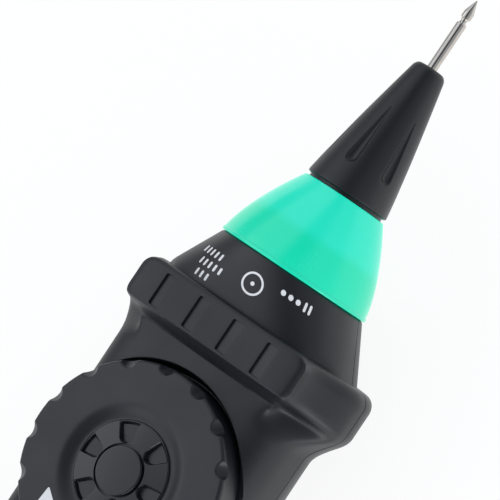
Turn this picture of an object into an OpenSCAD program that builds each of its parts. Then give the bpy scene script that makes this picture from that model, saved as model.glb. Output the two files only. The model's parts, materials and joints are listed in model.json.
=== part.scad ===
// Pen multimeter: a one-hand test instrument with a fixed probe needle at its nose, a lit
// ring behind the nose cone, a wide finger guard, a range dial, a display and three keys.
// +X points to the needle, +Z away from the surface that it lies on, and the origin is the
// bottom centre of its box. Inside the modules x counts from the tail; at_origin() shifts it.
// Millimetres throughout.

/* [Case] */
// Length from the tail to the front face of the finger guard
case_len = 156; // [154:0.5:164]
// Width of the case at the split line, just behind the guard
case_w = 31.4; // [31:0.2:34]
// Width of the case at the split line near the tail
tail_w = 28.8; // [28.6:0.2:31]
// Height of the flat top of the case above the rest surface
case_top = 25.2; // [24.8:0.2:28]
// Height of the tail's top above the rest surface
tail_top = 22; // [21:0.5:24]
// Height of the split line between the two shells
split_z = 16; // [15.6:0.2:17]
// How far the belly rises off the rest surface near the guard
belly_lift = 1.4; // [0:0.2:2]
// Wall thickness of both shells
wall = 1.8; // [1.4:0.1:2.2]
// Length over which the tail is rounded
tail_round = 6; // [3:0.5:9]
// How far the tail's rim is drawn in at its face
tail_edge = 2.4; // [1:0.2:3]

/* [Finger guard] */
// Width over the wings of the guard
guard_w = 38; // [36:0.5:42]
// Length of the guard along the pen
guard_len = 6.8; // [6:0.2:9]
// Height of the thumb pad's top above the rest surface
guard_top = 28.6; // [28:0.2:31]
// Width of the thumb pad
pad_w = 28.8; // [26:0.4:30]
// Length over which the wings run back into the case
guard_fade = 5; // [3:0.5:8]
// Number of grip grooves across the pad
groove_count = 4; // [2:1:4]
// Distance from groove to groove
groove_pitch = 6; // [4:0.2:6.4]
// Length of a groove along the pen
groove_len = 4.7; // [3:0.1:5]
// Width of a groove's ramp
groove_w = 1.3; // [0.8:0.1:2]
// Depth of a groove at its steep side
groove_depth = 0.55; // [0.3:0.05:0.8]

/* [Neck and light ring] */
// Length of the neck between guard and light ring
neck_len = 7.8; // [7.4:0.2:10]
// Width of the neck where it leaves the guard
neck_w = 32.4; // [31:0.2:34]
// Radius of the neck's front end
neck_r = 11; // [10.8:0.2:11.4]
// Height of the probe's axis above the rest surface
axis_z = 17.4; // [17:0.1:17.6]
// How far the neck's top lies below the pad where they meet
neck_drop = 1.2; // [0.6:0.1:2]
// Length of the light ring
ring_len = 12.3; // [11:0.1:15]
// Radius of the light ring at its base
ring_base_r = 11.3; // [11.2:0.1:12]
// Radius of the light ring at its tip
ring_tip_r = 6.2; // [6:0.1:7]
// Wall thickness of the light ring
ring_wall = 1.5; // [1:0.1:2]

/* [Nose cone and needle] */
// Dark joint between light ring and nose cone
cone_gap = 0.5; // [0.3:0.1:1]
// Length of the nose cone
cone_len = 20.3; // [19:0.5:24]
// Radius of the nose cone at its base
cone_base_r = 6.2; // [6:0.1:6.8]
// Radius of the nose cone at its tip
cone_tip_r = 2.3; // [2:0.1:2.8]
// Number of grip dimples around the nose cone
dimple_count = 6; // [4:1:8]
// Depth of a dimple at its round end
dimple_depth = 0.5; // [0.3:0.05:0.7]
// Radius of the needle
needle_r = 0.75; // [0.6:0.05:0.9]
// Length of needle that stands out of the cone
needle_out = 11; // [8:0.5:16]
// Length of the needle's spear head
head_len = 3.5; // [2.5:0.1:4]

/* [Dial] */
// Distance of the dial's centre behind the guard's front face
dial_back = 26; // [26:0.5:30]
// Radius of the dial
dial_r = 15; // [14.4:0.1:15.4]
// Radial gap between dial and the well it sits in
well_gap = 1.2; // [0.6:0.1:1.4]
// Depth of the well below the case's top
well_depth = 2.9; // [2.4:0.1:3.2]
// How far the dial stands above the case's top
dial_proud = 2.4; // [2:0.1:3]
// Number of scoops around the dial's rim
scoop_count = 16; // [10:1:18]
// Radius of a scoop
scoop_r = 1.5; // [1:0.1:1.8]
// Radius of the hub in the middle of the dial
hub_r = 7; // [6:0.2:8]
// Number of petal recesses in the hub
petal_count = 6; // [4:1:7]
// Angle between two switch positions
detent_angle = 18; // [12:1:24]
// Radius of the dial's stem
stem_r = 6; // [5:0.1:6.4]

/* [Display and keys] */
// Gap between the dial's well and the display lens
lens_gap = 4.8; // [4:0.1:5.5]
// Length of the display lens along the pen
lens_len = 42; // [38:0.5:43]
// Width of the display lens
lens_w = 19.6; // [18:0.2:20]
// Thickness of the display lens
lens_t = 1.1; // [0.8:0.1:1.4]
// Width of the lens's border around the window
lens_border = 2.4; // [2:0.1:3]
// Gap between the display lens and the foremost key
key_set_gap = 5.7; // [4.5:0.1:7]
// Distance from key to key
key_pitch = 9; // [8.6:0.1:9.6]
// Length of a key across the pen
key_len = 13; // [10:0.5:14]
// Width of a key along the pen
key_w = 5.6; // [4.6:0.1:5.8]
// How far a key stands above the case
key_proud = 1; // [0.8:0.1:1.6]
// Travel of a key
key_travel = 0.6; // [0.3:0.05:0.7]
// Gap between a key and its hole
key_gap = 0.3; // [0.2:0.05:0.4]

/* [Inside] */
// Thickness of the main board
board_t = 1.6; // [1.2:0.1:1.8]
// Radius of a battery cell
cell_r = 5.25; // [5.1:0.05:5.25]
// Length of a battery cell
cell_len = 44.5; // [44:0.1:45]
// Distance of the battery bay's rear wall from the tail
bay_x = 29; // [28.5:0.5:31]
// Thickness of the battery cover
cover_t = 1.6; // [1.2:0.1:1.8]
// Length of the fuse
fuse_len = 20; // [18:0.5:21]
// Radius of the fuse's end caps
fuse_r = 2.6; // [2.4:0.1:2.8]
// Radius of the test lead socket's bore
socket_r = 2; // [2:0.05:2.1]
// Depth of the test lead socket's bore
socket_depth = 18; // [14:0.5:18.5]
// Wall of the test lead socket
socket_wall = 0.9; // [0.6:0.1:1.1]
// Radius of the insulating sleeve around the socket
sleeve_r = 5.4; // [5:0.1:5.6]

/* [Hidden] */

black = "#3a3a3e";
metal = "#c8cacc";
gold = "#c9a552";
fine = 64; // facets of a turned piece in the shells

// Places along the pen, from the tail
neck_end = case_len + neck_len;
ring_end = neck_end + ring_len;
cone_start = ring_end + cone_gap;
cone_end = cone_start + cone_len;
total_len = cone_end + needle_out;
dial_x = case_len - dial_back;
well_r = dial_r + well_gap;
lens_x = dial_x - well_r - lens_gap - lens_len / 2;
key_x = lens_x - lens_len / 2 - key_set_gap - key_w / 2 - key_pitch;
slope_x = key_x - key_pitch - key_w / 2 - 4.7; // the flat top starts to fall towards the tail here
guard_back = case_len - guard_len;
pad_edge = 0.7; // rounding of the pad's edges
face_step = 0.02; // where a steep face stands between two outlines
foot_x = 20; // the belly lies flat on the surface up to here

// Form of the cross sections
top_power = 4.4; // squareness of the upper half
low_power = 2.6; // squareness of the lower half around the battery bay
front_power = 1.75; // and under the dial and the guard
side_lean = 0.04; // how much the upper sides lean in
foot_cut = 0.7; // depth of the flat along the belly
neck_round = 0.25; // roundness of the neck at the guard

// Heights inside
board_top = split_z;
board_z = board_top - board_t;
inner_top = case_top - wall;
well_z = case_top - well_depth;
pan_z = well_z - 1.6;
dial_z = well_z + 0.3;
dial_top = case_top + dial_proud;
lens_sink = 0.25; // the lens lies this far below the case's top
shelf_z = case_top - lens_sink - lens_t - 1.2;

beyond = 40; // cuts reach this far past the part

// Fixings
post_r = 2.4;
screw_r = 1.1;
screw_head_r = 2;
screw_head_h = 1.5;
screw_sink = 0.4;
front_post = [case_len - 11.6, 10.4];
rear_post = [19.5, 8.8];
posts = [for (p = [front_post, rear_post], s = [-1, 1]) [p[0], s * p[1]]];

// Battery bay
plate_t = 0.4;
cell_spring_len = 3;
bay_len = cell_len + cell_spring_len + 2 * plate_t;
bay_end = bay_x + bay_len;
cell_y = cell_r + 0.15;
bay_w = 2 * (cell_y + cell_r) + 0.6;
bay_wall = 1.2;
bay_top = board_z - 0.5;
cover_gap = 0.15;
cover_end = bay_end + 9;
cover_screw_x = bay_end + 5;
cover_boss_r = 2.2;
cell_z = low_z(bay_end) + cover_t + 0.3 + cell_r;

// Rotor and detents
rotor_r = 11.4;
rotor_z = board_top + 0.9;
rotor_top = pan_z - 0.8;
pin_r = 1.5;
running = 0.06; // running clearance of the pin and the stem
ball_r = 1;
ball_ring_r = 9;
ball_z = pan_z - 0.1 - ball_r;
rest_angle = 145; // where the pointer stands at the first position
positions = 5;

// Nose
lip = 1.5; // front wall of the neck that traps the tube's flange
flange_len = 3.5;
flange_r = in_top(neck_end - lip - flange_len, wall) - axis_z - 0.1;
mouth_r = flange_r - 0.7;
shoulder_r = 7.4;
shoulder_len = 6;
tube_r = ring_tip_r - ring_wall;
spigot_r = 3.2;
spigot_len = 7.5;
shank_r = needle_r + 0.25; // the needle tapers in the cone's mouth, which holds it in
mouth_len = 0.6;
needle_rear = case_len - 5.5;
needle_fit = 0.05;

// Socket
socket_z = split_z - 6.4;
socket_sink = 1;

function ease(t) = let (c = max(0, min(1, t))) c * c * (3 - 2 * c);
function ramp(x, x0, x1, a, b) = a + (b - a) * max(0, min(1, (x - x0) / (x1 - x0)));
function bend(x, x0, x1, a, b) = a + (b - a) * ease((x - x0) / (x1 - x0));
function quarter(t) = 1 - sqrt(max(0, 1 - pow(max(0, min(1, t)), 2)));

// Outline of the case along x: half width, top and bottom
function tail_cut(x) = tail_edge * quarter(1 - x / tail_round);
function edge_cut(x) = pad_edge * quarter((x - case_len + pad_edge) / pad_edge);
function body_half_w(x) = ramp(x, tail_round, guard_back - guard_fade, tail_w / 2, case_w / 2);
function half_w(x) =
    x > case_len ? ramp(x, case_len, neck_end, neck_w / 2, neck_r)
    : bend(x, guard_back - guard_fade, guard_back + 1, body_half_w(x), guard_w / 2)
        - tail_cut(x) - edge_cut(x);
function top_z(x) =
    x > case_len ? ramp(x, case_len, neck_end, guard_top - neck_drop, axis_z + neck_r)
    : x > guard_back - 1 ? bend(x, guard_back - 0.5, guard_back + 0.8, case_top, guard_top) - edge_cut(x)
    : bend(x, tail_round, slope_x, tail_top, case_top) - tail_cut(x);
function low_z(x) =
    x > case_len ? ramp(x, case_len, neck_end, 3, axis_z - neck_r)
    : x > guard_back - 2 ? bend(x, guard_back - 2, guard_back, belly_lift, 0) + edge_cut(x)
    : ramp(x, foot_x, guard_back - guard_fade, 0, belly_lift) + tail_cut(x);

// Squareness of the lower half along x, and the height of its surface at a point off the middle
function squareness(x) = bend(x, cover_end + 6, guard_back - guard_fade, low_power, front_power);
function belly_z(x, y) =
    max(low_z(x), split_z - (split_z - low_z(x) + foot_cut)
        * pow(1 - pow(abs(y) / half_w(x), squareness(x)), 1 / squareness(x)));

// The same outline a wall's thickness further in, from every side
function in_w(x, t) = t == 0 ? half_w(x) : min([for (d = [-t, 0, t]) half_w(x + d)]) - t;
function in_top(x, t) = t == 0 ? top_z(x) : min([for (d = [-t, 0, t]) top_z(x + d)]) - t;
function in_low(x, t) = t == 0 ? low_z(x) : max([for (d = [-t, 0, t]) low_z(x + d)]) + t;

// How much a cross section has of the round neck and of the guard's swept wings
function neckness(x) = x > case_len ? ramp(x, case_len, neck_end, neck_round, 1) : 0;
function guardness(x) = x > case_len ? 0 : ease((x - guard_back + guard_fade) / guard_fade);

// Half of a cross section as [share of the half width, share of the height], u from 0 at the
// split to 1 at the middle: a rounded box, and wings that sweep up to the pad
function box_half(u, power) =
    [pow(cos(90 * u), 2 / power), pow(sin(90 * u), 2 / power)];
function wing_half(u) =
    let (pad = pad_w / guard_w, turn = 0.7, shoulder = 0.92)
    u < turn
        ? let (h = shoulder * u / turn)
            [pad + (1 - pad) * (1 - ease((h - 0.12) / 0.72)), h]
        : let (q = box_half((u - turn) / (1 - turn), 4))
            [pad * q[0], shoulder + (1 - shoulder) * q[1]];
// The round neck as an ellipse about the probe's axis, in millimetres
function round_half(u, w, reach, base) =
    let (a0 = asin(base / reach), a = a0 + (90 - a0) * u)
    [w * cos(a) / cos(a0), reach * sin(a)];

function upper_point(x, u, t) =
    let (w = in_w(x, t), top = in_top(x, t), n = neckness(x), g = guardness(x),
        r = n > 0 ? round_half(u, w, top - axis_z, split_z - axis_z) : [0, 0], b = box_half(u, top_power),
        q = wing_half(u), own = (1 - n) * (1 - g))
    [
        n * r[0] + w * ((1 - n) * g * q[0] + own * b[0] * (1 - side_lean * b[1])),
        n * (axis_z + r[1]) + (1 - n) * (split_z + (top - split_z) * (g * q[1] + (1 - g) * b[1]))
    ];
function lower_point(x, u, t) =
    let (w = in_w(x, t), low = in_low(x, t), n = neckness(x),
        r = n > 0 ? round_half(u, w, axis_z - low, axis_z - split_z) : [0, 0], b = box_half(u, squareness(x)))
    [
        n * r[0] + (1 - n) * w * b[0],
        n * (axis_z - r[1]) + (1 - n) * max(low, split_z - (split_z - low + foot_cut) * b[1])
    ];

// A closed outline across the pen, starting at one split edge and ending at the other. The
// cavity's outline reaches past the split so that the shell is open there.
function across(x, t, steps, up) =
    let (half = [for (i = [0:steps]) up ? upper_point(x, i / steps, t) : lower_point(x, i / steps, t)],
        s = up ? 1 : -1, past = split_z - s)
    concat(
        t > 0 ? [[x, s * half[0][0], past]] : [],
        [for (i = [0:steps]) [x, s * half[i][0], half[i][1]]],
        [for (i = [steps - 1:-1:0]) [x, -s * half[i][0], half[i][1]]],
        t > 0 ? [[x, -s * half[0][0], past]] : []
    );

// Where outlines are taken: close together where the form turns, far apart where it is straight
outer_stations = concat(
    [for (a = [0:22.5:67.5]) tail_round * (1 - cos(a))],
    [tail_round, foot_x],
    [for (i = [1:4]) tail_round + (slope_x - tail_round) * i / 4 + 0.01],
    [for (i = [1:4]) slope_x + (guard_back - guard_fade - slope_x) * i / 4],
    [for (i = [1:5]) guard_back - guard_fade + (guard_fade - 0.5) * i / 5],
    [for (i = [1:4]) guard_back - 0.5 + 1.5 * i / 4],
    [for (a = [0:30:90]) case_len - pad_edge * (1 - sin(a))],
    [case_len + face_step],
    [for (i = [1:5]) case_len + neck_len * i / 5]
);
function in_order(v) = len(v) < 2 ? v : let (m = min(v), rest = [for (x = v) if (x > m + 0.001) x])
    concat([m], in_order(rest));
inner_stations = concat(
    [wall, tail_round + wall, foot_x, slope_x, (slope_x + guard_back - guard_fade) / 2],
    [for (i = [0:4]) guard_back - guard_fade - wall + (guard_fade + wall) * i / 4],
    [case_len - wall, case_len + face_step],
    [for (i = [1:3]) case_len + (neck_len - lip) * i / 3]
);

// A skin stretched over outlines that have as many points each
module loft(rings) {
    n = len(rings[0]);
    k = len(rings);
    polyhedron(
        points = [for (r = rings) each r],
        faces = concat(
            [[for (j = [0:n - 1]) j]],
            [for (i = [0:k - 2], j = [0:n - 1], half = [0, 1])
                let (a = i * n + j, b = i * n + (j + 1) % n)
                half == 0 ? [a, a + n, b + n] : [a, b + n, b]],
            [[for (j = [n - 1:-1:0]) (k - 1) * n + j]]
        )
    );
}

module shell_form(up) loft([for (x = in_order(outer_stations)) across(x, 0, 18, up)]);
module shell_hollow(up, t) loft([for (x = in_order(inner_stations)) across(x, t, 10, up)]);

module at_origin() translate([-total_len / 2, 0, 0]) children();
// Turns a piece drawn upright so that its axis lies along the pen, at x
module along_pen(x, z = axis_z, y = 0) translate([x, y, z]) rotate([0, 90, 0]) children();
// Turned piece from [distance along the axis, radius] points
module turned(points) rotate_extrude($fn = fine) polygon([for (p = points) [p[1], p[0]]]);
module bar(x, y, z) translate([x[0], y[0], z[0]]) cube([x[1] - x[0], y[1] - y[0], z[1] - z[0]]);
// Plate with round corners, centred on x and y
module rounded_plate(size, r, z0, z1)
    hull() for (i = [-1, 1], j = [-1, 1])
        translate([i * (size[0] / 2 - r), j * (size[1] / 2 - r), z0]) cylinder(r = r, h = z1 - z0, $fn = 24);

// Upper shell
module thumb_grooves()
    for (i = [0:groove_count - 1])
        translate([guard_back + 0.6 + (guard_len - 1.3 - groove_len) / 2,
            (i - (groove_count - 1) / 2) * groove_pitch + groove_w / 2, guard_top])
            rotate([90, 0, 90])
                linear_extrude(groove_len)
                    polygon([[0, 0.5], [0, -groove_depth], [-groove_w, 0], [-groove_w, 0.5]]);

module post_gussets()
    for (p = posts)
        hull() {
            translate([p[0], p[1], board_top]) cylinder(r = 0.5, h = beyond, $fn = 8);
            translate([p[0], sign(p[1]) * (in_w(p[0], wall) + 0.5), inner_top - 4])
                cylinder(r = 0.5, h = 10, $fn = 8);
        }

module upper_fillings() {
    translate([dial_x, 0, pan_z]) cylinder(r = well_r + wall, h = beyond, $fn = fine);
    bar([lens_x - lens_len / 2 - 1.4, lens_x + lens_len / 2 + 1.4], [-lens_w / 2 - 1.4, lens_w / 2 + 1.4],
        [shelf_z, beyond]);
    for (p = posts) translate([p[0], p[1], board_top]) cylinder(r = post_r, h = beyond, $fn = 24);
    post_gussets();
}

module dial_well() {
    translate([dial_x, 0, well_z]) cylinder(r = well_r, h = beyond, $fn = 96);
    translate([dial_x, 0, pan_z - 1]) cylinder(r = stem_r + running, h = beyond, $fn = 96);
}

module detent_notches()
    for (k = [0:positions - 1], s = [0, 180])
        translate([dial_x, 0, 0])
            rotate([0, 0, rest_angle + 90 + s + k * detent_angle])
                translate([ball_ring_r, 0, pan_z - 0.2]) cylinder(r1 = ball_r, r2 = 0.6, h = 0.6, $fn = 12);

module upper_case()
    color(black) at_origin() difference() {
        shell_form(true);
        difference() {
            shell_hollow(true, wall);
            upper_fillings();
        }
        nose_mouth();
        dial_well();
        detent_notches();
        thumb_grooves();
        translate([lens_x, 0, 0])
            rounded_plate([lens_len + 0.2, lens_w + 0.2], 2.1, case_top - lens_sink - lens_t, beyond);
        translate([lens_x, 0, 0])
            rounded_plate([lens_len - 2 * lens_border, lens_w - 2 * lens_border], 1, shelf_z - 1, beyond);
        for (k = [-1:1])
            translate([key_x + k * key_pitch, 0, 0])
                rounded_plate([key_w + 2 * key_gap, key_len + 2 * key_gap], key_w / 2, inner_top - 2, beyond);
        for (p = posts)
            translate([p[0], p[1], board_top - 1]) cylinder(r = screw_r + 0.05, h = 6.5, $fn = 24);
    }

// Lower shell
module nose_mouth()
    along_pen(case_len) cylinder(r = mouth_r, h = neck_len + 5, $fn = fine);

module bay_walls() {
    for (x = [bay_x - bay_wall, bay_end])
        bar([x, x + bay_wall], [-20, 20], [-5, bay_top]);
    for (s = [-1, 1])
        translate([0, s * (bay_w / 2 + bay_wall / 2), 0])
            bar([bay_x - bay_wall, cover_end + bay_wall], [-bay_wall / 2, bay_wall / 2], [-5, bay_top]);
    bar([cover_end, cover_end + bay_wall], [-bay_w / 2, bay_w / 2], [-5, low_z(cover_end) + wall + 2]);
    bar([bay_end, cover_screw_x], [-0.8, 0.8], [low_z(bay_end) + cover_t + 1, bay_top]);
    translate([cover_screw_x, 0, low_z(cover_screw_x) + cover_t + 0.1])
        cylinder(r = cover_boss_r, h = bay_top - low_z(cover_screw_x) - cover_t - 0.1, $fn = 24);
}

// Ribs along the walls that carry the board
rib_places = [cover_end + 8, dial_x - 11, dial_x + 2, guard_back - 9];
module board_ribs()
    for (x = rib_places, s = [-1, 1])
        hull() {
            translate([x, s * (in_w(x, wall) - 2.2), board_z - 4]) cylinder(r = 0.6, h = 4, $fn = 8);
            translate([x, s * (in_w(x, wall) + 0.5), board_z - 10]) cylinder(r = 0.6, h = 10, $fn = 8);
        }

module socket_seat()
    along_pen(0, socket_z) cylinder(r = sleeve_r + 1.4, h = socket_depth - 2, $fn = 48);

module cover_opening(gap)
    bar([bay_x + gap, cover_end - gap], [-bay_w / 2 + gap, bay_w / 2 - gap], [-5, cell_z - cell_r * 0.6]);

module hook_slots(gap)
    for (s = [-1, 1])
        bar([bay_x - 2.2 - gap, bay_x + 1], [s * 6 - 1.5 - gap, s * 6 + 1.5 + gap],
            [low_z(bay_x) + wall + 0.1 - gap, low_z(bay_x) + wall + 1.3 + gap]);

module lower_case()
    color(black) at_origin() difference() {
        shell_form(false);
        difference() {
            shell_hollow(false, wall);
            bay_walls();
            board_ribs();
            socket_seat();
            for (p = posts) translate([p[0], p[1], -1]) cylinder(r = post_r, h = board_z + 1, $fn = 24);
        }
        nose_mouth();
        difference() {
            cover_opening(0);
            intersection() {
                shell_hollow(false, cover_t + cover_gap);
                union() {
                    translate([cover_screw_x, 0, 0]) cylinder(r = cover_boss_r, h = 20, $fn = 24);
                    bar([bay_end, bay_end + bay_wall], [-20, 20], [0, 20]);
                    bar([bay_end, cover_screw_x], [-0.8, 0.8], [low_z(bay_end) + cover_t + 1, 20]);
                }
            }
        }
        hook_slots(0.2);
        along_pen(-1, socket_z) cylinder(r = sleeve_r + 0.05, h = socket_depth + 4, $fn = fine);
        for (p = posts) {
            translate([p[0], p[1], -1]) cylinder(r = screw_r + 0.15, h = 20, $fn = 24);
            translate([p[0], p[1], -1])
                cylinder(r = screw_head_r + 0.15, h = 1 + screw_z(p) + screw_head_h, $fn = 24);
        }
        translate([cover_screw_x, 0, 0]) cylinder(r = 0.95, h = 11, $fn = 24);
    }

// Battery cover: a piece of the belly with grip grooves and two hooks
module battery_cover()
    color(black) at_origin() difference() {
        union() {
            intersection() {
                difference() {
                    shell_form(false);
                    shell_hollow(false, cover_t);
                }
                cover_opening(cover_gap);
            }
            for (s = [-1, 1])
                hull() {
                    translate([bay_x - 2, s * 6 - 1.4, low_z(bay_x) + wall + 0.3]) cube([1, 2.8, 0.8]);
                    translate([bay_x + 3, s * 6 - 1.4, low_z(bay_x) + cover_t - 0.4]) cube([1, 2.8, 0.6]);
                }
        }
        for (i = [0:6])
            hull() for (s = [-1, 1])
                translate([cover_end - 16 - 2.2 * i, s * (6 - 0.6 * i), low_z(cover_end) - 0.45])
                    sphere(r = 0.8, $fn = 10);
        translate([cover_screw_x, 0, -1]) cylinder(r = 1.15, h = 10, $fn = 24);
        translate([cover_screw_x, 0, -1]) cylinder(r = 1.8, h = 1 + low_z(cover_screw_x) + 0.8, $fn = 24);
    }

function screw_z(p) = belly_z(p[0], abs(p[1]) + screw_head_r) + screw_sink;
module cross_head_screw(r, head_r, head_h, len)
    difference() {
        union() {
            cylinder(r = head_r, h = head_h, $fn = 48);
            cylinder(r = r, h = len, $fn = 48);
        }
        for (a = [0, 90])
            rotate([0, 0, a]) translate([0, 0, 0.3]) cube([head_r * 1.1, 0.5, 1], center = true);
    }

module cover_screw()
    color(metal) at_origin()
        translate([cover_screw_x, 0, low_z(cover_screw_x) + 0.1])
            cross_head_screw(0.9, 1.65, 0.65, 8);

module case_screws()
    color(metal) at_origin()
        for (p = posts)
            translate([p[0], p[1], screw_z(p)])
                cross_head_screw(screw_r, screw_head_r, screw_head_h, board_top + 5 - screw_z(p));

// Nose
function ring_r(t) = ring_tip_r + (ring_base_r - ring_tip_r) * (1 - pow(t, 1.5));
module light_ring()
    color("#1fe0b0", 0.8) at_origin() along_pen(neck_end)
        turned(concat(
            [[0, ring_base_r - ring_wall], [0, ring_base_r + 0.1], [0.5, ring_base_r + 0.1]],
            [for (i = [1:14]) [ring_len * i / 14, ring_r(i / 14)]],
            [[ring_len, tube_r + 0.05]],
            [for (i = [12:-1:1]) [(ring_len - ring_wall) * i / 12, ring_r(i / 12) - ring_wall]]
        ));

cone_round = 0.9;
function cone_r(t) = cone_tip_r + (cone_base_r - cone_tip_r) * (1 - pow(t, 1.12));
module cone_dimple()
    // A ball and a slim cone laid on the surface leave a drop: round behind, pointed in front
    let (x0 = 4.8, x1 = 13, ball = 1.2, lift = ball - dimple_depth,
        r0 = cone_r(x0 / cone_len) + lift, r1 = cone_r(x1 / cone_len),
        lean = atan((r0 - r1) / (x1 - x0)), reach = norm([x1 - x0, r0 - r1]))
        translate([0, r0, x0]) rotate([lean, 0, 0]) {
            sphere(r = ball, $fn = 32);
            cylinder(r1 = ball, r2 = 0.05, h = reach, $fn = 32);
        }

module nose_cone()
    color(black) at_origin() along_pen(cone_start) difference() {
        turned(concat(
            [[0, spigot_r + 0.05], [0, cone_base_r - 0.3], [0.3, cone_base_r - 0.02]],
            [for (i = [1:9]) [(cone_len - cone_round) * i / 9, cone_r(i / 10)]],
            [for (a = [30:30:90])
                [cone_len - cone_round * (1 - sin(a)), cone_tip_r - cone_round * (1 - cos(a)) + 0.3]],
            [[cone_len, needle_r + 2 * needle_fit], [cone_len - mouth_len, shank_r + needle_fit],
                [spigot_len + 0.3, shank_r + needle_fit], [spigot_len + 0.3, spigot_r + 0.05]]
        ));
        for (i = [0:dimple_count - 1]) rotate([0, 0, 92 + 360 / dimple_count * i]) cone_dimple();
    }

// Insulating tube that carries the needle: flange in the neck, shoulder inside the ring,
// spigot inside the cone
module nose_tube()
    color("#d9dedb") at_origin() along_pen(neck_end - lip - flange_len)
        turned([
            [0, collar_r + 0.1], [0, flange_r], [flange_len, flange_r], [flange_len, mouth_r - 0.1],
            [flange_len + lip, mouth_r - 0.1], [flange_len + lip, shoulder_r],
            [flange_len + lip + shoulder_len, shoulder_r],
            [flange_len + lip + shoulder_len + 1, tube_r],
            [flange_len + lip + ring_len + cone_gap, tube_r],
            [flange_len + lip + ring_len + cone_gap, spigot_r],
            [flange_len + lip + ring_len + cone_gap + spigot_len, spigot_r],
            [flange_len + lip + ring_len + cone_gap + spigot_len, shank_r + needle_fit],
            [collar_len + 0.1, shank_r + needle_fit], [collar_len + 0.1, collar_r + 0.1]
        ]);

collar_r = 1.8; // the needle's collar sits in the tube's rear end
collar_len = 1.4;
waist_len = 0.36;
module probe_needle()
    color(metal) at_origin() along_pen(needle_rear)
        let (collar = neck_end - lip - flange_len - needle_rear, tip = total_len - needle_rear,
            root = tip - head_len, step = cone_end - needle_rear)
        turned([
            [0, 0], [0, shank_r], [collar, shank_r], [collar, collar_r], [collar + collar_len, collar_r],
            [collar + collar_len, shank_r], [step - mouth_len, shank_r], [step + needle_fit, needle_r],
            [root - waist_len, needle_r], [root, needle_r * 0.62],
            [root + waist_len, needle_r * 0.6], [root + 2 * waist_len, needle_r],
            [root + head_len * 0.44, needle_r], [tip - 0.12, 0.09], [tip, 0]
        ]);

// Spring clip on the board that grips the needle's rear end
module probe_clip()
    color(gold) at_origin() union() {
        bar([needle_rear + 0.3, needle_rear + 4], [-shank_r - 0.75, shank_r + 0.75],
            [board_top, board_top + 0.35]);
        for (s = [-1, 1])
            translate([0, s * (shank_r + 0.4), 0])
                bar([needle_rear + 0.3, needle_rear + 4], [-0.35, 0.35], [board_top, axis_z + 0.9]);
    }

// Two lamps on the board's nose that shine into the ring
module ring_lamps()
    color("#e8fff6") at_origin()
        for (s = [-1, 1])
            translate([case_len - 1.6, s * 5.2, board_top + 1.75]) rotate([0, 90, 0]) union() {
                cylinder(r = 1.75, h = 0.8, $fn = 48);
                cylinder(r = 1.5, h = neck_len - lip - flange_len, $fn = 48);
                translate([0, 0, neck_len - lip - flange_len]) sphere(r = 1.5, $fn = 48);
            }

// Dial
module dial_form()
    let (bowl = 0.7, cone_z = dial_top - 0.45, disc_r = hub_r * 0.48)
    rotate_extrude($fn = 96) polygon(concat(
        [[0, rotor_top], [stem_r, rotor_top], [stem_r, dial_z], [dial_r - 0.3, dial_z],
            [dial_r, dial_z + 0.3]],
        [for (a = [0:15:90]) [dial_r - 0.6 * (1 - cos(a)), dial_top - 0.6 * (1 - sin(a))]],
        [for (i = [0:6]) let (t = i / 6)
            [hub_r + 2.4 * (1 - t), dial_top - bowl * ease(t)]],
        [[hub_r, dial_top - 0.45], [hub_r - 0.25, cone_z + 0.1], [disc_r + 0.35, dial_top + 0.1],
            [disc_r + 0.3, dial_top - 0.3], [disc_r, dial_top - 0.3], [disc_r, dial_top + 0.35],
            [disc_r - 0.2, dial_top + 0.5], [0, dial_top + 0.5]]
    ));

scoop_lean = 46;
scoop_in = 1.3; // how far a scoop reaches in at the dial's face
// A scoop leans outwards, so that it is deep at the dial's face and fades down the side
module rim_scoop()
    let (top_c = dial_r + scoop_r / cos(scoop_lean) - scoop_in)
    translate([top_c, 0, dial_top]) rotate([0, -scoop_lean, 0])
        translate([0, 0, -6]) cylinder(r = scoop_r, h = 9, $fn = 32);

module hub_petal()
    let (disc_r = hub_r * 0.48, inner = disc_r + 1.45, outer = hub_r - 0.2)
    translate([0, 0, dial_top - 0.95])
        linear_extrude(3)
            union() {
                translate([inner, 0]) circle(r = 1.1, $fn = 32);
                intersection() {
                    difference() {
                        circle(r = outer, $fn = 64);
                        circle(r = inner, $fn = 64);
                    }
                    polygon([[inner - 0.4, -1.05], [outer, -1.6], [outer + 1, -1.6], [outer + 1, 1.6],
                        [outer, 1.6], [inner - 0.4, 1.05]]);
                }
            }

pointer_tip = 13.5;
pointer_side = 4;
pointer_t = 0.3;
module pointer_mark(side, z0, z1)
    let (depth = side * sqrt(3) / 2, mid = pointer_tip - pointer_side * sqrt(3) / 3)
    translate([mid, 0, z0])
        linear_extrude(z1 - z0)
            polygon([[depth * 2 / 3, 0], [-depth / 3, side / 2], [-depth / 3, -side / 2]]);

module dial_knob()
    color("#45454a") at_origin() translate([dial_x, 0, 0]) rotate([0, 0, rest_angle]) difference() {
        dial_form();
        for (i = [0:scoop_count - 1]) rotate([0, 0, 360 / scoop_count * i]) rim_scoop();
        for (i = [0:petal_count - 1]) rotate([0, 0, 360 / petal_count * i]) hub_petal();
        pointer_mark(pointer_side + 0.1, dial_top - pointer_t - 0.02, dial_top + 1);
        difference() {
            translate([0, 0, dial_z - 1]) cylinder(r = dial_r - 2, h = dial_top - dial_z - 1.6, $fn = 96);
            translate([0, 0, dial_z - 2]) cylinder(r = stem_r + 1.6, h = 20, $fn = 96);
        }
        translate([0, 0, rotor_top - 1]) cylinder(r = key_hex_r + 0.1, h = key_hex_h + 0.7, $fn = 6);
    }

module dial_pointer()
    color("white") at_origin() translate([dial_x, 0, 0]) rotate([0, 0, rest_angle])
        pointer_mark(pointer_side, dial_top - pointer_t, dial_top - 0.01);

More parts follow.
